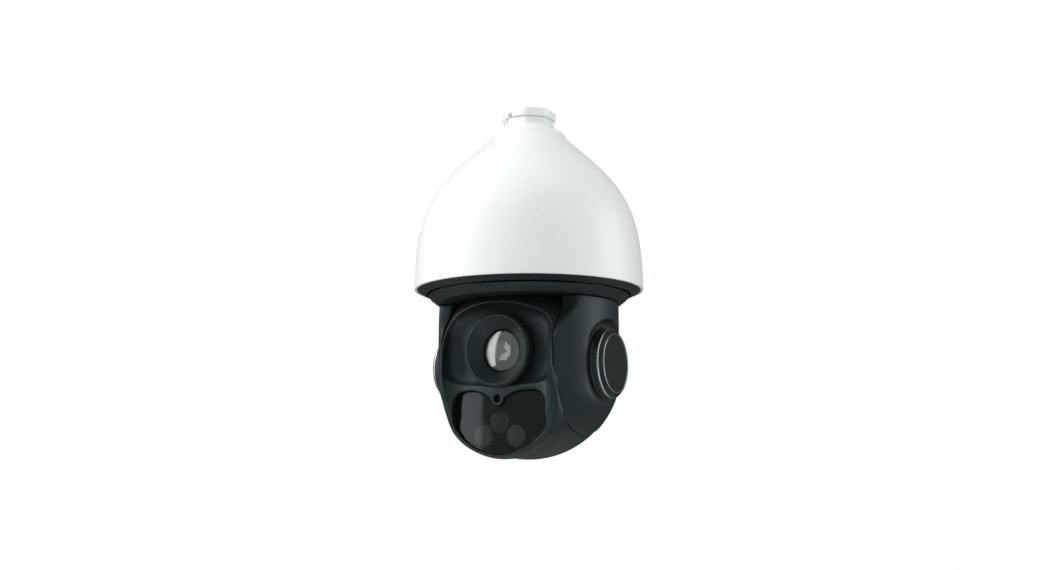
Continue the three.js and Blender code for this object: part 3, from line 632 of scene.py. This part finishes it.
class DOME_OT_collar(bpy.types.Operator):
    """Build the eight-sided hanging collar with its slot and two lugs"""
    bl_idname = "dome.collar"
    bl_label = "Collar"

    def execute(self, context):
        low, high = COLLAR_LOW[2], COLLAR_HIGH[2]
        middle = (low + high) / 2.0
        half = (high - low) / 2.0
        slot_turn = math.radians(-16.0)

        def collar(x, f, z):
            flats = np.maximum.reduce([np.abs(x * math.cos(k * math.pi / 4) + f * math.sin(k * math.pi / 4))
                                       for k in range(4)]) - 24.1
            body = common(common(flats, np.abs(z - middle) - half, 1.2), np.hypot(x, f) - 25.3, 1.0)
            body = without(body, np.hypot(x, f) - 14.0, 0.8)
            across = x * math.cos(slot_turn) - f * math.sin(slot_turn)
            out = f * math.cos(slot_turn) + x * math.sin(slot_turn)
            slot = np.maximum.reduce([np.abs(across) - 2.0, 21.2 - out, z - low - 3.6])
            return without(body, slot, 0.4)

        mesh = surface_mesh("hanging_collar", collar, (-27, -27, low - 1), (27, 27, high + 1), 0.5)
        keep("hanging_collar", mesh, "housing_white", "housing", ["neck_collar"])
        profile = rounded([(0, 18.5, 0), (1.9, 18.5, 0.3), (1.9, 25.2, 0.6), (1.3, 25.4, 0.2), (1.2, 24.2, 0),
                           (0, 24.2, 0)])
        for index, turn in enumerate((-38.0, 142.0)):
            angle = math.radians(turn)
            lug = turned("collar_lug", profile, "forward", sides=28)
            turn_about_axis(lug, angle, low - 1.5)
            keep(f"collar_lug_{index + 1}", lug, "housing_white", "housing")
        return {"FINISHED"}


def turn_about_axis(mesh, angle, lift=0.0):
    """Turns a mesh about the pan axis and lifts it from the tilt axis by millimetres."""
    for vertex in mesh.vertices:
        x, y, z = vertex.co
        vertex.co = (x * math.cos(angle) - y * math.sin(angle), x * math.sin(angle) + y * math.cos(angle),
                     z + lift * MM)
    mesh.update()


class DOME_OT_base_ring(bpy.types.Operator):
    """Turn the black ring that closes the housing around the turntable"""
    bl_idname = "dome.base_ring"
    bl_label = "Base ring"

    def execute(self, context):
        low = RING_LOW[2]
        outer = RING_HIGH[0]
        rim = HOUSING_LOW[2]
        profile = rounded([(outer, rim - 0.2, 0.8), (outer, rim + 3.8, 0.4), (outer - 6, rim + 3.8, 0.4),
                           (outer - 6, rim + 1.4, 0), (outer - 8.4, low + 2.8, 0.4),
                           (outer - 8.4, low + 0.1, 0.6),
                           (outer - 6.9, low, 0.5), (outer - 2.2, rim - 1.2, 1.5)])
        keep("base_ring_turned", turned("base_ring_turned", profile), "body_black", "housing", ["base_ring"])
        return {"FINISHED"}


class DOME_OT_turntable(bpy.types.Operator):
    """Turn the rotating dish: sloped skirt, flat lip and bowl over the ball"""
    bl_idname = "dome.turntable"
    bl_label = "Turntable"

    def execute(self, context):
        low = TABLE_LOW[2]
        column = TABLE_HIGH[0] - 7.8
        bowl = BALL + 3.0
        outer = bowl + context.scene.dome_sizes.wall
        lip = math.sqrt(bowl ** 2 - low ** 2)
        top = low + 7.3
        inside = [(bowl * math.cos(a), bowl * math.sin(a))
                  for a in np.linspace(math.asin(low / bowl) + 0.02, math.pi / 2 - 0.115, 26)]
        outside = [(outer * math.cos(a), outer * math.sin(a))
                   for a in np.linspace(math.pi / 2 - 0.115, math.asin((top + 5) / outer), 26)]
        skirt = rounded([(*outside[-1], 0), (TABLE_HIGH[0] - 4, top + 0.3, 0.5), (TABLE_HIGH[0], top, 0.6),
                         (TABLE_HIGH[0] - 2.6, top - 3.2, 1.5), (column, low, 1.6), (lip + 0.3, low, 1.0),
                         (*inside[1], 0)])
        profile = inside[1:] + outside[:-1] + skirt[:-1]
        keep("turntable_dish", turned("turntable_dish", profile), "body_black", "pan_body", ["turntable"])
        return {"FINISHED"}


# ---- Arms ----

def arm_distance(sizes):
    """Distance function of the right arm's cover, in x, forward and height."""
    inner = ARM_LOW[0]
    top = ARM_HIGH[2]
    ball = BALL + 1.0
    column = ball - 2.0
    disc = math.sqrt(ball ** 2 - inner ** 2)
    floor = CAP_LOW[0] - 0.3
    wall = sizes.wall

    def shape(x, f, z, inset):
        reach = np.hypot(f, z)
        low_share = np.clip(-z / 35.0, 0.0, 1.0)
        swell = column + (ball - column) * low_share * low_share * (3 - 2 * low_share)
        side = np.sqrt(x * x + f * f + np.minimum(z, 0.0) ** 2) - swell
        neck = np.maximum(np.abs(f) - sizes.neck_half, 20.0 - z)
        outline = joined(reach - disc, neck, sizes.neck_fillet)
        return np.maximum(common(side + inset, outline + inset, 2.4 if inset == 0 else 0.0), z - top)

    def dish(x, f, z, grow):
        reach = np.hypot(f, z + sizes.dish_drop)
        cone = (reach - sizes.dish_radius - grow) * 0.97 - (x - floor) * 0.1
        return common(floor - grow - x, cone, 5.0 if grow == 0 else 0.0)

    def distance(x, f, z):
        outer = common(shape(x, f, z, 0.0), inner - x, 1.0)
        outer = without(outer, dish(x, f, z, 0.0), 1.6)
        cavity = np.maximum(np.maximum(shape(x, f, z, wall), inner - 3.0 - x), -dish(x, f, z, wall))
        return without(outer, cavity)

    return distance


class DOME_OT_arms(bpy.types.Operator):
    """Build the two arm covers with their dished sides and filleted necks"""
    bl_idname = "dome.arms"
    bl_label = "Arm covers"

    def execute(self, context):
        sizes = context.scene.dome_sizes
        low = (ARM_LOW[0] - 2, -70.0, ARM_LOW[2] - 2)
        high = (BALL + 4, 70.0, ARM_HIGH[2] + 2)
        mesh = surface_mesh("right_arm_skin", arm_distance(sizes), low, high, sizes.mesh_step)
        mirrored = mesh.copy()
        mirrored.transform(MIRROR)
        mirrored.flip_normals()
        keep("right_arm_skin", mesh, "body_black", "pan_body", ["right_arm_cover"])
        mirrored.name = "left_arm_skin"
        keep("left_arm_skin", mirrored, "body_black", "pan_body", ["left_arm_cover"])
        return {"FINISHED"}


class DOME_OT_caps(bpy.types.Operator):
    """Turn the side caps with their bright rings"""
    bl_idname = "dome.caps"
    bl_label = "Side caps"

    def execute(self, context):
        face, floor, radius = CAP_HIGH[0], CAP_LOW[0], CAP_HIGH[2]
        trim_out = TRIM_HIGH[2]
        trim_in = trim_out - 1.3
        shoulder = face - 2.8
        cap = rounded([(0, floor, 0), (radius + 1.0, floor, 0), (radius, floor + 1.6, 1.2),
                       (radius, shoulder - 2.0, 0.2),
                       (radius - 1.0, shoulder - 2.0, 0), (radius - 1.0, shoulder - 0.2, 0),
                       (radius - 0.2, shoulder - 0.2, 0.3), (trim_out + 0.9, face - 0.3, 1.6),
                       (trim_out + 0.3, face - 0.3, 0.1), (trim_out + 0.3, face - 1.3, 0),
                       (trim_in - 0.3, face - 1.3, 0),
                       (trim_in - 0.3, face - 0.5, 0.3), (trim_in - 3.5, face - 0.55, 0), (0, face - 0.2, 0)])
        trim = rounded([(trim_in, face - 1.0, 0), (trim_out, face - 1.0, 0), (trim_out, face + 0.14, 0.45),
                        (trim_in, face + 0.14, 0.45)])
        band_out = BAND_HIGH[2]
        band = rounded([(radius - 0.9, shoulder - 1.9, 0), (band_out, shoulder - 1.9, 0.3),
                        (band_out, shoulder - 0.5, 0.9), (radius - 0.9, shoulder - 0.3, 0.2)])
        pieces = (("side_cap", cap, "cap_black", "body_black"),
                  ("cap_trim", trim, "trim_chrome", "trim_chrome"),
                  ("cap_band", band, "trim_chrome", "trim_chrome"))
        for side, sign in (("right", 1), ("left", -1)):
            for name, profile, finish, slot in pieces:
                mesh = turned(f"{side}_{name}_turned", profile, "x", sides=128)
                if sign < 0:
                    mesh.transform(MIRROR)
                    mesh.flip_normals()
                keep(f"{side}_{name}_turned", mesh, finish, "pan_body", [f"{side}_{name}"])
        return {"FINISHED"}


# ---- Head ----

def window_outline(x, z, grow):
    """Distance to the infrared window's outline, larger by grow."""
    half = WINDOW_HIGH[0] + grow
    top = WINDOW_HIGH[2] + grow
    body = common(np.abs(x) - half, z - top, 14.0)
    body = common(body, np.hypot(x, z + 21.0) - 57.0 - grow, 3.0)
    lobe_x, lobe_r = 27.0, 33.0
    sensor = (SENSOR_LOW[2] + SENSOR_HIGH[2]) / 2.0
    crown = np.hypot(np.maximum(lobe_x - np.abs(x), 0.0), np.maximum(z - top + lobe_r, 0.0)) - lobe_r
    body = np.maximum(body, joined(crown, z - sensor - grow, 3.0))
    boss = np.hypot(x, z - sensor) - 6.2 + grow
    return without(body, boss, 1.5)


def head_distance(sizes):
    """Distance function of the head's shell: ball, flat sides, visor, face, jaw and openings."""
    wall = sizes.wall
    face = sizes.face_depth
    jaw_depth = face + 7.0
    jaw_half = sizes.face_half - 3.5
    jaw_top = -22.3
    lens_z = (BEZEL_LOW[2] + BEZEL_HIGH[2]) / 2.0
    sensor_z = (SENSOR_LOW[2] + SENSOR_HIGH[2]) / 2.0

    def jaw(x, f, z, inset):
        outline = common(np.abs(x) - jaw_half + inset, np.hypot(x, z + 21.0) - 60.0 + inset, 5.0)
        outline = common(outline, z - jaw_top + inset, 6.0)
        front = np.hypot(x, f - jaw_depth + sizes.jaw_curve) - sizes.jaw_curve + inset
        body = common(outline, front, 3.0)
        body = common(body, np.sqrt(x * x + f * f + z * z) - BALL - 11.0 + inset, 3.0)
        return np.maximum(body, -f)

    def recess(x, f, z, grow):
        outline = common(np.abs(x) - sizes.face_half - grow,
                         np.hypot(x, z - sizes.visor_top + sizes.visor_arch) - sizes.visor_arch - grow, 10.0)
        floor = face - grow - f
        return common(outline, floor, 14.0 if grow == 0 else 4.0)

    def solid(x, f, z, inset):
        ball = np.sqrt(x * x + f * f + z * z) - BALL + inset
        body = common(ball, np.abs(x) - HEAD_HALF + inset, 2.0 if inset == 0 else 0.0)
        body = without(body, recess(x, f, z, inset), 1.6 if inset == 0 else 0.0)
        if inset:
            return np.minimum(body, jaw(x, f, z, inset))
        # the jaw flows into the face, and meets the ball's underside more sharply
        flow = 2.0 + 18.0 * np.clip((f - 20.0) / 25.0, 0.0, 1.0)
        return joined(body, jaw(x, f, z, 0.0), flow)

    def distance(x, f, z):
        shell = without(solid(x, f, z, 0.0), solid(x, f, z, wall))
        lens = np.maximum(np.hypot(x, z - lens_z) - 24.3, 30.0 - f)
        shell = without(shell, lens, 0.6)
        outline = window_outline(x, z, 0.15)
        shell = without(shell, np.maximum(outline, 35.0 - f), 0.7)
        boss = common(np.hypot(x, z - sensor_z) - 5.9,
                      np.maximum(f - jaw_depth + 0.15, 35.0 - f), 0.8)
        shell = joined(shell, boss, 0.8)
        eye = np.maximum(np.hypot(x, z - sensor_z) - 3.4, 30.0 - f)
        shell = without(shell, eye, 0.8)
        pin = np.maximum(np.hypot(f, z) - 8.3, 40.0 - np.abs(x))
        return without(shell, pin, 0.5)

    return distance


class DOME_OT_head(bpy.types.Operator):
    """Build the head's front and rear shells"""
    bl_idname = "dome.head"
    bl_label = "Head shells"

    def execute(self, context):
        sizes = context.scene.dome_sizes
        whole = head_distance(sizes)
        split = -18.0

        def front(x, f, z):
            return common(whole(x, f, z), split - f, 0.5)

        def rear(x, f, z):
            shell = common(whole(x, f, z), f - split + 1.3, 0.5)
            return rear_details(shell, x, f, z)

        side = HEAD_HALF + 2.0
        reach = BALL + 3
        mesh = surface_mesh("head_front_skin", front, (-side, split - 2, -reach), (side, BALL + 2, reach),
                            sizes.mesh_step)
        keep("head_front_skin", mesh, "body_black", "head", ["head_front_shell"])
        mesh = surface_mesh("head_rear_skin", rear, (-side, -reach, -reach), (side, split + 1, reach),
                            sizes.mesh_step)
        keep("head_rear_skin", mesh, "body_black", "head", ["head_rear_shell"])
        return {"FINISHED"}


def rear_details(shell, x, f, z):
    """A service door's groove and its screw wells on the rear shell."""
    depth = BALL - np.sqrt(x * x + f * f + z * z)
    door = np.abs(common(np.abs(x) - DOOR_X - 8.0, np.abs(z - DOOR_HEIGHT) - DOOR_Z - 8.0, 16.0)) - 0.45
    shell = without(shell, np.maximum(np.maximum(door, depth - 0.9), f), 0.3)
    for side in (-1, 1):
        for end in (-1, 1):
            spot = np.array([side * DOOR_X, -BALL, DOOR_HEIGHT + end * DOOR_Z])
            spot = spot / np.linalg.norm(spot)
            along = x * spot[0] + f * spot[1] + z * spot[2]
            away = np.sqrt(np.maximum(x * x + f * f + z * z - along * along, 0.0))
            shell = without(shell, np.maximum(np.maximum(away - 3.3, BALL - 2.0 - along), -along), 0.4)
    return shell


class DOME_OT_lens(bpy.types.Operator):
    """Turn the bezel, the front glass, the faceted element with its holder, and the lens barrel"""
    bl_idname = "dome.lens"
    bl_label = "Lens"

    def execute(self, context):
        centre = (0.0, 0.0, (BEZEL_LOW[2] + BEZEL_HIGH[2]) / 2.0)
        back, front = BEZEL_LOW[1], BEZEL_HIGH[1]
        outer = BEZEL_HIGH[0]
        face = context.scene.dome_sizes.face_depth
        throat = context.scene.dome_sizes.throat
        spigot = GLASS_HIGH[0] + 2.5
        seat = front - 10.6
        bezel = rounded([
            (throat, back, 0), (spigot, back, 0.3), (spigot, face + 0.3, 0), (outer, face + 0.3, 0.3),
            (outer, front - 2.4, 2.2), (outer - 1.8, front - 0.3, 1.0), (outer - 3.2, front - 0.2, 0.9),
            (outer - 4.2, front - 1.4, 0.8), (throat + 1.8, seat + 1.6, 1.4), (throat, seat, 0.8)])
        keep("bezel_turned", turned("bezel_turned", bezel, "forward", centre, 160), "bezel_black", "head",
             ["lens_bezel"])
        rim = throat - 0.3
        foot = seat - 0.6
        top = foot + 2.6
        sag = top - foot
        radius = (rim ** 2 + sag ** 2) / (2 * sag)
        crown = [(rim * (1 - k / 16), top - radius + math.sqrt(radius ** 2 - (rim * (1 - k / 16)) ** 2))
                 for k in range(16)]
        shell = [(r * 0.94, h - 0.9) for r, h in crown[::-1]] + [(rim * 0.94, GLASS_LOW[1] - 0.8)]
        glass = [(rim, GLASS_LOW[1] - 0.8)] + crown + [(0.0, top), (0.0, top - 0.9)] + shell
        keep("front_glass_turned", turned("front_glass_turned", glass, "forward", centre, 96),
             "lens_glass", "head", ["front_window"])
        facets = [(0.0, foot - 4.0), (9.6, foot - 4.0), (9.6, foot - 0.3), (8.8, foot),
                  (2.6, foot - 2.0), (0.0, foot - 2.0)]
        mesh = turned("front_element", facets, "forward", centre, 8, start=math.pi / 8)
        piece = keep("front_element", mesh, "iris_metal", "head")
        piece.data.shade_flat()
        holder = [(9.8, foot - 4.0), (rim - 0.4, foot - 4.0), (rim - 0.4, foot - 0.4),
                  (rim - 1.6, foot - 0.4),
                  (10.6, foot - 2.2), (9.8, foot - 2.2)]
        mesh = turned("element_holder", holder, "forward", centre, 96)
        keep("element_holder", mesh, "baffle_black", "head")
        barrel = BARREL_HIGH[0]
        steps = []
        inside = barrel - 2.2
        depth = BARREL_HIGH[1]
        while depth > BARREL_LOW[1] + 2:
            steps += [(inside, depth), (inside, depth - 0.6), (inside + 0.9, depth - 0.7),
                      (inside + 0.9, depth - 1.6)]
            depth -= 1.7
        profile = [(barrel, BARREL_LOW[1]), (barrel, BARREL_HIGH[1])] + steps + [(inside, BARREL_LOW[1])]
        mesh = turned("lens_barrel_turned", profile, "forward", centre, 72)
        keep("lens_barrel_turned", mesh, "baffle_black", "head", ["lens_barrel"])
        return {"FINISHED"}


class DOME_OT_window(bpy.types.Operator):
    """Build the infrared window, its three lamps and the light sensor"""
    bl_idname = "dome.window"
    bl_label = "Infrared window"

    def execute(self, context):
        sizes = context.scene.dome_sizes
        depth = sizes.face_depth + 7.0
        curve = sizes.jaw_curve

        def pane(x, f, z):
            front = np.hypot(x, f - depth + 0.3 + curve) - curve
            return common(common(window_outline(x, z, -0.25), front, 0.5), -front - 2.4)

        low = (WINDOW_LOW[0] - 2, WINDOW_LOW[1] - 3, WINDOW_LOW[2] - 2)
        high = (WINDOW_HIGH[0] + 2, WINDOW_HIGH[1] + 2, WINDOW_HIGH[2] + 2)
        mesh = surface_mesh("infrared_window_pane", pane, low, high, 0.8)
        keep("infrared_window_pane", mesh, "window_dark", "head", ["ir_window"])
        for name in ("ir_lens_top", "ir_lens_left", "ir_lens_right"):
            lamp_low, lamp_high = node_box(name)
            centre = ((lamp_low[0] + lamp_high[0]) / 2, 0.0, (lamp_low[2] + lamp_high[2]) / 2)
            radius = lamp_high[0] - centre[0]
            back, front = lamp_low[1], lamp_high[1]
            steps = [(radius, front - 1.0)]
            rings = 6
            for ring in range(rings):
                edge = radius * (1 - ring / rings)
                steps += [(edge - 0.15, front), (edge - radius / rings + 0.25, front - 0.5)]
            profile = [(0.0, back), (radius - 3.0, back)] + steps[:-1] + [(0.0, front - 0.3)]
            mesh = turned(f"{name}_turned", profile, "forward", centre, 64)
            keep(f"{name}_turned", mesh, "lamp_lens", "head", [name])
        radius = SENSOR_HIGH[0]
        centre = (0.0, 0.0, (SENSOR_LOW[2] + SENSOR_HIGH[2]) / 2.0)
        profile = [(0.0, SENSOR_LOW[1]), (radius - 0.2, SENSOR_LOW[1]), (radius - 0.2, SENSOR_HIGH[1] - 1.0)]
        profile += [(radius * 0.8 * math.cos(a), SENSOR_HIGH[1] - 1.4 + 1.4 * math.sin(a))
                    for a in np.linspace(0, math.pi / 2, 7)[:-1]] + [(0.0, SENSOR_HIGH[1])]
        mesh = turned("light_sensor_turned", profile, "forward", centre, 40)
        keep("light_sensor_turned", mesh, "window_dark", "head", ["light_sensor"])
        return {"FINISHED"}


# ---- Pieces that repeat, by Geometry Nodes ----

def spread_tree(name):
    """A node tree that sets socket screws on a ball, at the corners of a rectangle behind it."""
    tree = bpy.data.node_groups.new(name, "GeometryNodeTree")
    tree.interface.new_socket("Geometry", in_out="INPUT", socket_type="NodeSocketGeometry")
    for label, default in (("Across", 0.058), ("Along", 0.066), ("Centre height", 0.0),
                           ("Ball radius", 0.085),
                           ("Pivot height", 0.0), ("Head radius", 0.003), ("Head height", 0.002),
                           ("Socket radius", 0.0014)):
        socket = tree.interface.new_socket(label, in_out="INPUT", socket_type="NodeSocketFloat")
        socket.default_value = default
    tree.interface.new_socket("Finish", in_out="INPUT", socket_type="NodeSocketMaterial")
    tree.interface.new_socket("Geometry", in_out="OUTPUT", socket_type="NodeSocketGeometry")
    nodes, links = tree.nodes, tree.links
    source, sink = nodes.new("NodeGroupInput"), nodes.new("NodeGroupOutput")
    given = source.outputs

    def add(kind, settings, values):
        node = nodes.new(kind)
        for key, value in settings.items():
            setattr(node, key, value)
        for key, value in values.items():
            if hasattr(value, "is_output"):
                links.new(value, node.inputs[key])
            else:
                node.inputs[key].default_value = value
        return node

    grid = add("GeometryNodeMeshGrid", {}, {"Size X": given["Across"], "Size Y": given["Along"],
                                            "Vertices X": 2, "Vertices Y": 2})
    upright = add("GeometryNodeTransform", {}, {"Geometry": grid.outputs["Mesh"],
                                                "Rotation": (math.pi / 2, 0.0, 0.0)})
    shift = add("ShaderNodeCombineXYZ", {}, {"Y": given["Ball radius"], "Z": given["Centre height"]})
    behind = add("GeometryNodeSetPosition", {}, {"Geometry": upright.outputs[0], "Offset": shift.outputs[0]})
    here = add("GeometryNodeInputPosition", {}, {})
    out = add("ShaderNodeVectorMath", {"operation": "NORMALIZE"}, {0: here.outputs[0]})
    far = add("ShaderNodeVectorMath", {"operation": "SCALE"},
              {0: out.outputs[0], "Scale": given["Ball radius"]})
    placed = add("GeometryNodeSetPosition", {}, {"Geometry": behind.outputs[0], "Position": far.outputs[0]})
    head = add("GeometryNodeMeshCylinder", {}, {"Vertices": 28, "Radius": given["Head radius"],
                                                "Depth": given["Head height"]})
    well = add("GeometryNodeMeshCylinder", {}, {"Vertices": 6, "Radius": given["Socket radius"],
                                                "Depth": given["Head height"]})
    half = add("ShaderNodeMath", {"operation": "MULTIPLY"}, {0: given["Head height"], 1: 0.5})
    up = add("ShaderNodeCombineXYZ", {}, {"Z": half.outputs[0]})
    well_up = add("GeometryNodeTransform", {}, {"Geometry": well.outputs["Mesh"],
                                                "Translation": up.outputs[0]})
    cut = add("GeometryNodeMeshBoolean", {"operation": "DIFFERENCE"}, {})
    links.new(head.outputs["Mesh"], cut.inputs[0])
    links.new(well_up.outputs[0], cut.inputs[1])
    turn = add("FunctionNodeAlignRotationToVector", {"axis": "Z"}, {"Vector": out.outputs[0]})
    screws = add("GeometryNodeInstanceOnPoints", {}, {"Points": placed.outputs[0],
                                                      "Instance": cut.outputs["Mesh"],
                                                      "Rotation": turn.outputs[0]})
    pivot = add("ShaderNodeCombineXYZ", {}, {"Z": given["Pivot height"]})
    lift = add("GeometryNodeTransform", {}, {"Geometry": screws.outputs[0], "Translation": pivot.outputs[0]})
    real = add("GeometryNodeRealizeInstances", {}, {"Geometry": lift.outputs[0]})
    coat = add("GeometryNodeSetMaterial", {}, {"Geometry": real.outputs[0], "Material": given["Finish"]})
    links.new(coat.outputs[0], sink.inputs[0])
    return tree


def spread(name, tree, values, finish):
    """Runs a node tree with the given inputs and returns its result as a plain mesh."""
    seed = bpy.data.meshes.new(name + "_seed")
    carrier = bpy.data.objects.new(name + "_seed", seed)
    bpy.context.scene.collection.objects.link(carrier)
    modifier = carrier.modifiers.new("spread", "NODES")
    modifier.node_group = tree
    labels = {item.name: item.identifier for item in tree.interface.items_tree
              if getattr(item, "in_out", "") == "INPUT"}
    for label, value in {**values, "Finish": finish_named(finish)}.items():
        modifier[labels[label]] = value
    bpy.context.view_layer.update()
    evaluated = carrier.evaluated_get(bpy.context.evaluated_depsgraph_get())
    mesh = bpy.data.meshes.new_from_object(evaluated)
    carrier.modifiers.remove(modifier)
    bpy.data.objects.remove(carrier)
    mesh.name = name
    return mesh


class DOME_OT_fasteners(bpy.types.Operator):
    """Set the screws of the head's rear door"""
    bl_idname = "dome.fasteners"
    bl_label = "Fasteners"

    def execute(self, context):
        tree = spread_tree("door_screws")
        values = {"Across": 2 * DOOR_X * MM, "Along": 2 * DOOR_Z * MM, "Centre height": DOOR_HEIGHT * MM,
                  "Ball radius": (BALL - 1.6) * MM, "Pivot height": TILT * MM, "Head radius": 2.7 * MM,
                  "Head height": 1.8 * MM, "Socket radius": 1.3 * MM}
        mesh = spread("door_screws", tree, values, "screw_steel")
        keep("door_screws", mesh, "screw_steel", "head")
        return {"FINISHED"}


class DOME_OT_inner(bpy.types.Operator):
    """Give the inner CAD pieces their finishes"""
    bl_idname = "dome.inner"
    bl_label = "Inner pieces"

    def execute(self, context):
        slots = {entry["node"]: entry["material_slot"] for entry in frame["record"]["subparts"]}
        special = {"zoom_group": "inner_glass", "focus_group": "inner_glass", "objective_lens": "inner_glass",
                   "ir_board": "baffle_black"}
        for name, node in frame["nodes"].items():
            finish = special.get(name, slots[name])
            material = finish_named(finish)
            if not node.data.materials:
                node.data.materials.append(material)
            for slot in node.material_slots:
                slot.material = material
        return {"FINISHED"}


# ---- Stage ----

def soft_box(name, place, target, size, power):
    """A rectangular soft light aimed at a point."""
    data = bpy.data.lights.new(name, "AREA")
    data.shape = "RECTANGLE"
    data.size, data.size_y = size
    data.energy = power
    light = bpy.data.objects.new(name, data)
    light.location = place
    light.rotation_euler = (Vector(target) - Vector(place)).to_track_quat("-Z", "Y").to_euler()
    bpy.context.scene.collection.objects.link(light)


def around(azimuth, elevation, distance, centre):
    """A place seen from the centre at an azimuth (0 in front, + to the right) and elevation, in degrees."""
    a, e = math.radians(azimuth), math.radians(elevation)
    level = distance * math.cos(e)
    return (centre[0] + level * math.sin(a), centre[1] - level * math.cos(a), centre[2] + distance * math.sin(e))


class DOME_OT_stage(bpy.types.Operator):
    """Set the floor, the soft lights and the camera"""
    bl_idname = "dome.stage"
    bl_label = "Stage"

    def execute(self, context):
        scene = context.scene
        head = (0.0, 0.0, TILT * MM)
        floor_mesh = bpy.data.meshes.new("floor")
        size, drop = 4.0, TILT * MM - 1.5
        corners = [(-size, -size, drop), (size, -size, drop), (size, size, drop), (-size, size, drop)]
        floor_mesh.from_pydata(corners, [], [(0, 1, 2, 3)])
        floor = bpy.data.objects.new("floor", floor_mesh)
        scene.collection.objects.link(floor)
        paper = Finish("floor_paper")
        tone = paper.blend(paper.noise(3.0), (0.84, 0.84, 0.84), (0.88, 0.88, 0.88))
        reach = paper.node("ShaderNodeVectorMath", {"operation": "DISTANCE"},
                           {0: paper.place, 1: (0.0, 0.0, drop)}, "Value")
        fade = paper.node("ShaderNodeMapRange", {"interpolation_type": "SMOOTHSTEP"},
                          {"Value": reach, "From Min": 1.0, "From Max": size * 0.95,
                           "To Min": 1.0, "To Max": 0.0})
        paper.set(Base_Color=tone, Roughness=0.8 + paper.noise(400.0) * 0.1, Alpha=fade)
        floor_mesh.materials.append(paper.material)
        world = bpy.data.worlds.new("studio")
        scene.world = world
        world.use_nodes = True
        nodes, links = world.node_tree.nodes, world.node_tree.links
        nodes.clear()
        seen, lit = nodes.new("ShaderNodeBackground"), nodes.new("ShaderNodeBackground")
        seen.inputs["Color"].default_value = (1.0, 1.0, 1.0, 1.0)
        seen.inputs["Strength"].default_value = 1.0
        lit.inputs["Color"].default_value = (0.95, 0.985, 1.0, 1.0)
        place, facing = nodes.new("ShaderNodeTexCoord"), nodes.new("ShaderNodeVectorMath")
        facing.operation = "DOT_PRODUCT"
        facing.inputs[1].default_value = around(22.0, 0.0, 1.0, (0.0, 0.0, 0.0))
        links.new(place.outputs["Generated"], facing.inputs[0])
        fall = nodes.new("ShaderNodeMapRange")
        for label, value in (("From Min", -0.7), ("From Max", 0.6), ("To Min", 0.1), ("To Max", 0.62)):
            fall.inputs[label].default_value = value
        links.new(facing.outputs["Value"], fall.inputs["Value"])
        links.new(fall.outputs["Result"], lit.inputs["Strength"])
        pick, path = nodes.new("ShaderNodeMixShader"), nodes.new("ShaderNodeLightPath")
        out = nodes.new("ShaderNodeOutputWorld")
        links.new(path.outputs["Is Camera Ray"], pick.inputs["Fac"])
        links.new(lit.outputs[0], pick.inputs[1])
        links.new(seen.outputs[0], pick.inputs[2])
        links.new(pick.outputs[0], out.inputs["Surface"])
        soft_box("key_light", around(-56.0, 16.0, 1.7, head), head, (1.0, 2.0), 20.0)
        soft_box("side_light", around(118.0, 8.0, 1.4, head), head, (0.7, 1.4), 9.0)
        soft_box("top_light", around(-20.0, 72.0, 1.6, head), head, (1.8, 1.8), 13.0)
        soft_box("low_light", around(15.0, -38.0, 1.5, head), head, (1.0, 0.8), 3.0)
        data = bpy.data.cameras.new("camera")
        data.sensor_width = 36.0
        data.lens = 36.0 * 1046.0 / 1047.0
        data.shift_x = -0.0051
        camera = bpy.data.objects.new("camera", data)
        scene.collection.objects.link(camera)
        azimuth, rise, distance = math.radians(29.0), math.radians(9.0), 0.95
        camera.location = (distance * math.sin(azimuth), -distance * math.cos(azimuth), TILT * MM - 0.075)
        camera.rotation_euler = (math.pi / 2 + rise, 0.0, azimuth)
        scene.camera = camera
        scene.view_settings.view_transform = "Standard"
        return {"FINISHED"}


class DOME_PT_panel(bpy.types.Panel):
    """Lists the pieces of the speed dome"""
    bl_idname = "DOME_PT_panel"
    bl_label = "Speed dome"
    bl_space_type = "VIEW_3D"
    bl_region_type = "UI"
    bl_category = "Speed dome"

    def draw(self, context):
        layout = self.layout
        for group in (context.scene.dome_sizes, context.scene.dome_colours):
            for key in group.__annotations__:
                layout.prop(group, key)
        for operator in PIECES:
            layout.operator(operator.bl_idname)


PIECES = (DOME_OT_housing, DOME_OT_collar, DOME_OT_base_ring, DOME_OT_turntable, DOME_OT_arms, DOME_OT_caps,
          DOME_OT_head, DOME_OT_lens, DOME_OT_window, DOME_OT_fasteners, DOME_OT_inner, DOME_OT_stage)
CLASSES = (DomeSizes, DomeColours) + PIECES + (DOME_PT_panel,)


def register():
    """Registers the classes and their settings."""
    for item in CLASSES:
        bpy.utils.register_class(item)
    bpy.types.Scene.dome_sizes = PointerProperty(type=DomeSizes)
    bpy.types.Scene.dome_colours = PointerProperty(type=DomeColours)


def unregister():
    """Removes the classes and their settings."""
    del bpy.types.Scene.dome_colours
    del bpy.types.Scene.dome_sizes
    for item in reversed(CLASSES):
        bpy.utils.unregister_class(item)


def main():
    """Builds every piece."""
    register()
    for piece in PIECES:
        group, name = piece.bl_idname.split(".")
        getattr(getattr(bpy.ops, group), name)()


if __name__ == "__main__":
    main()
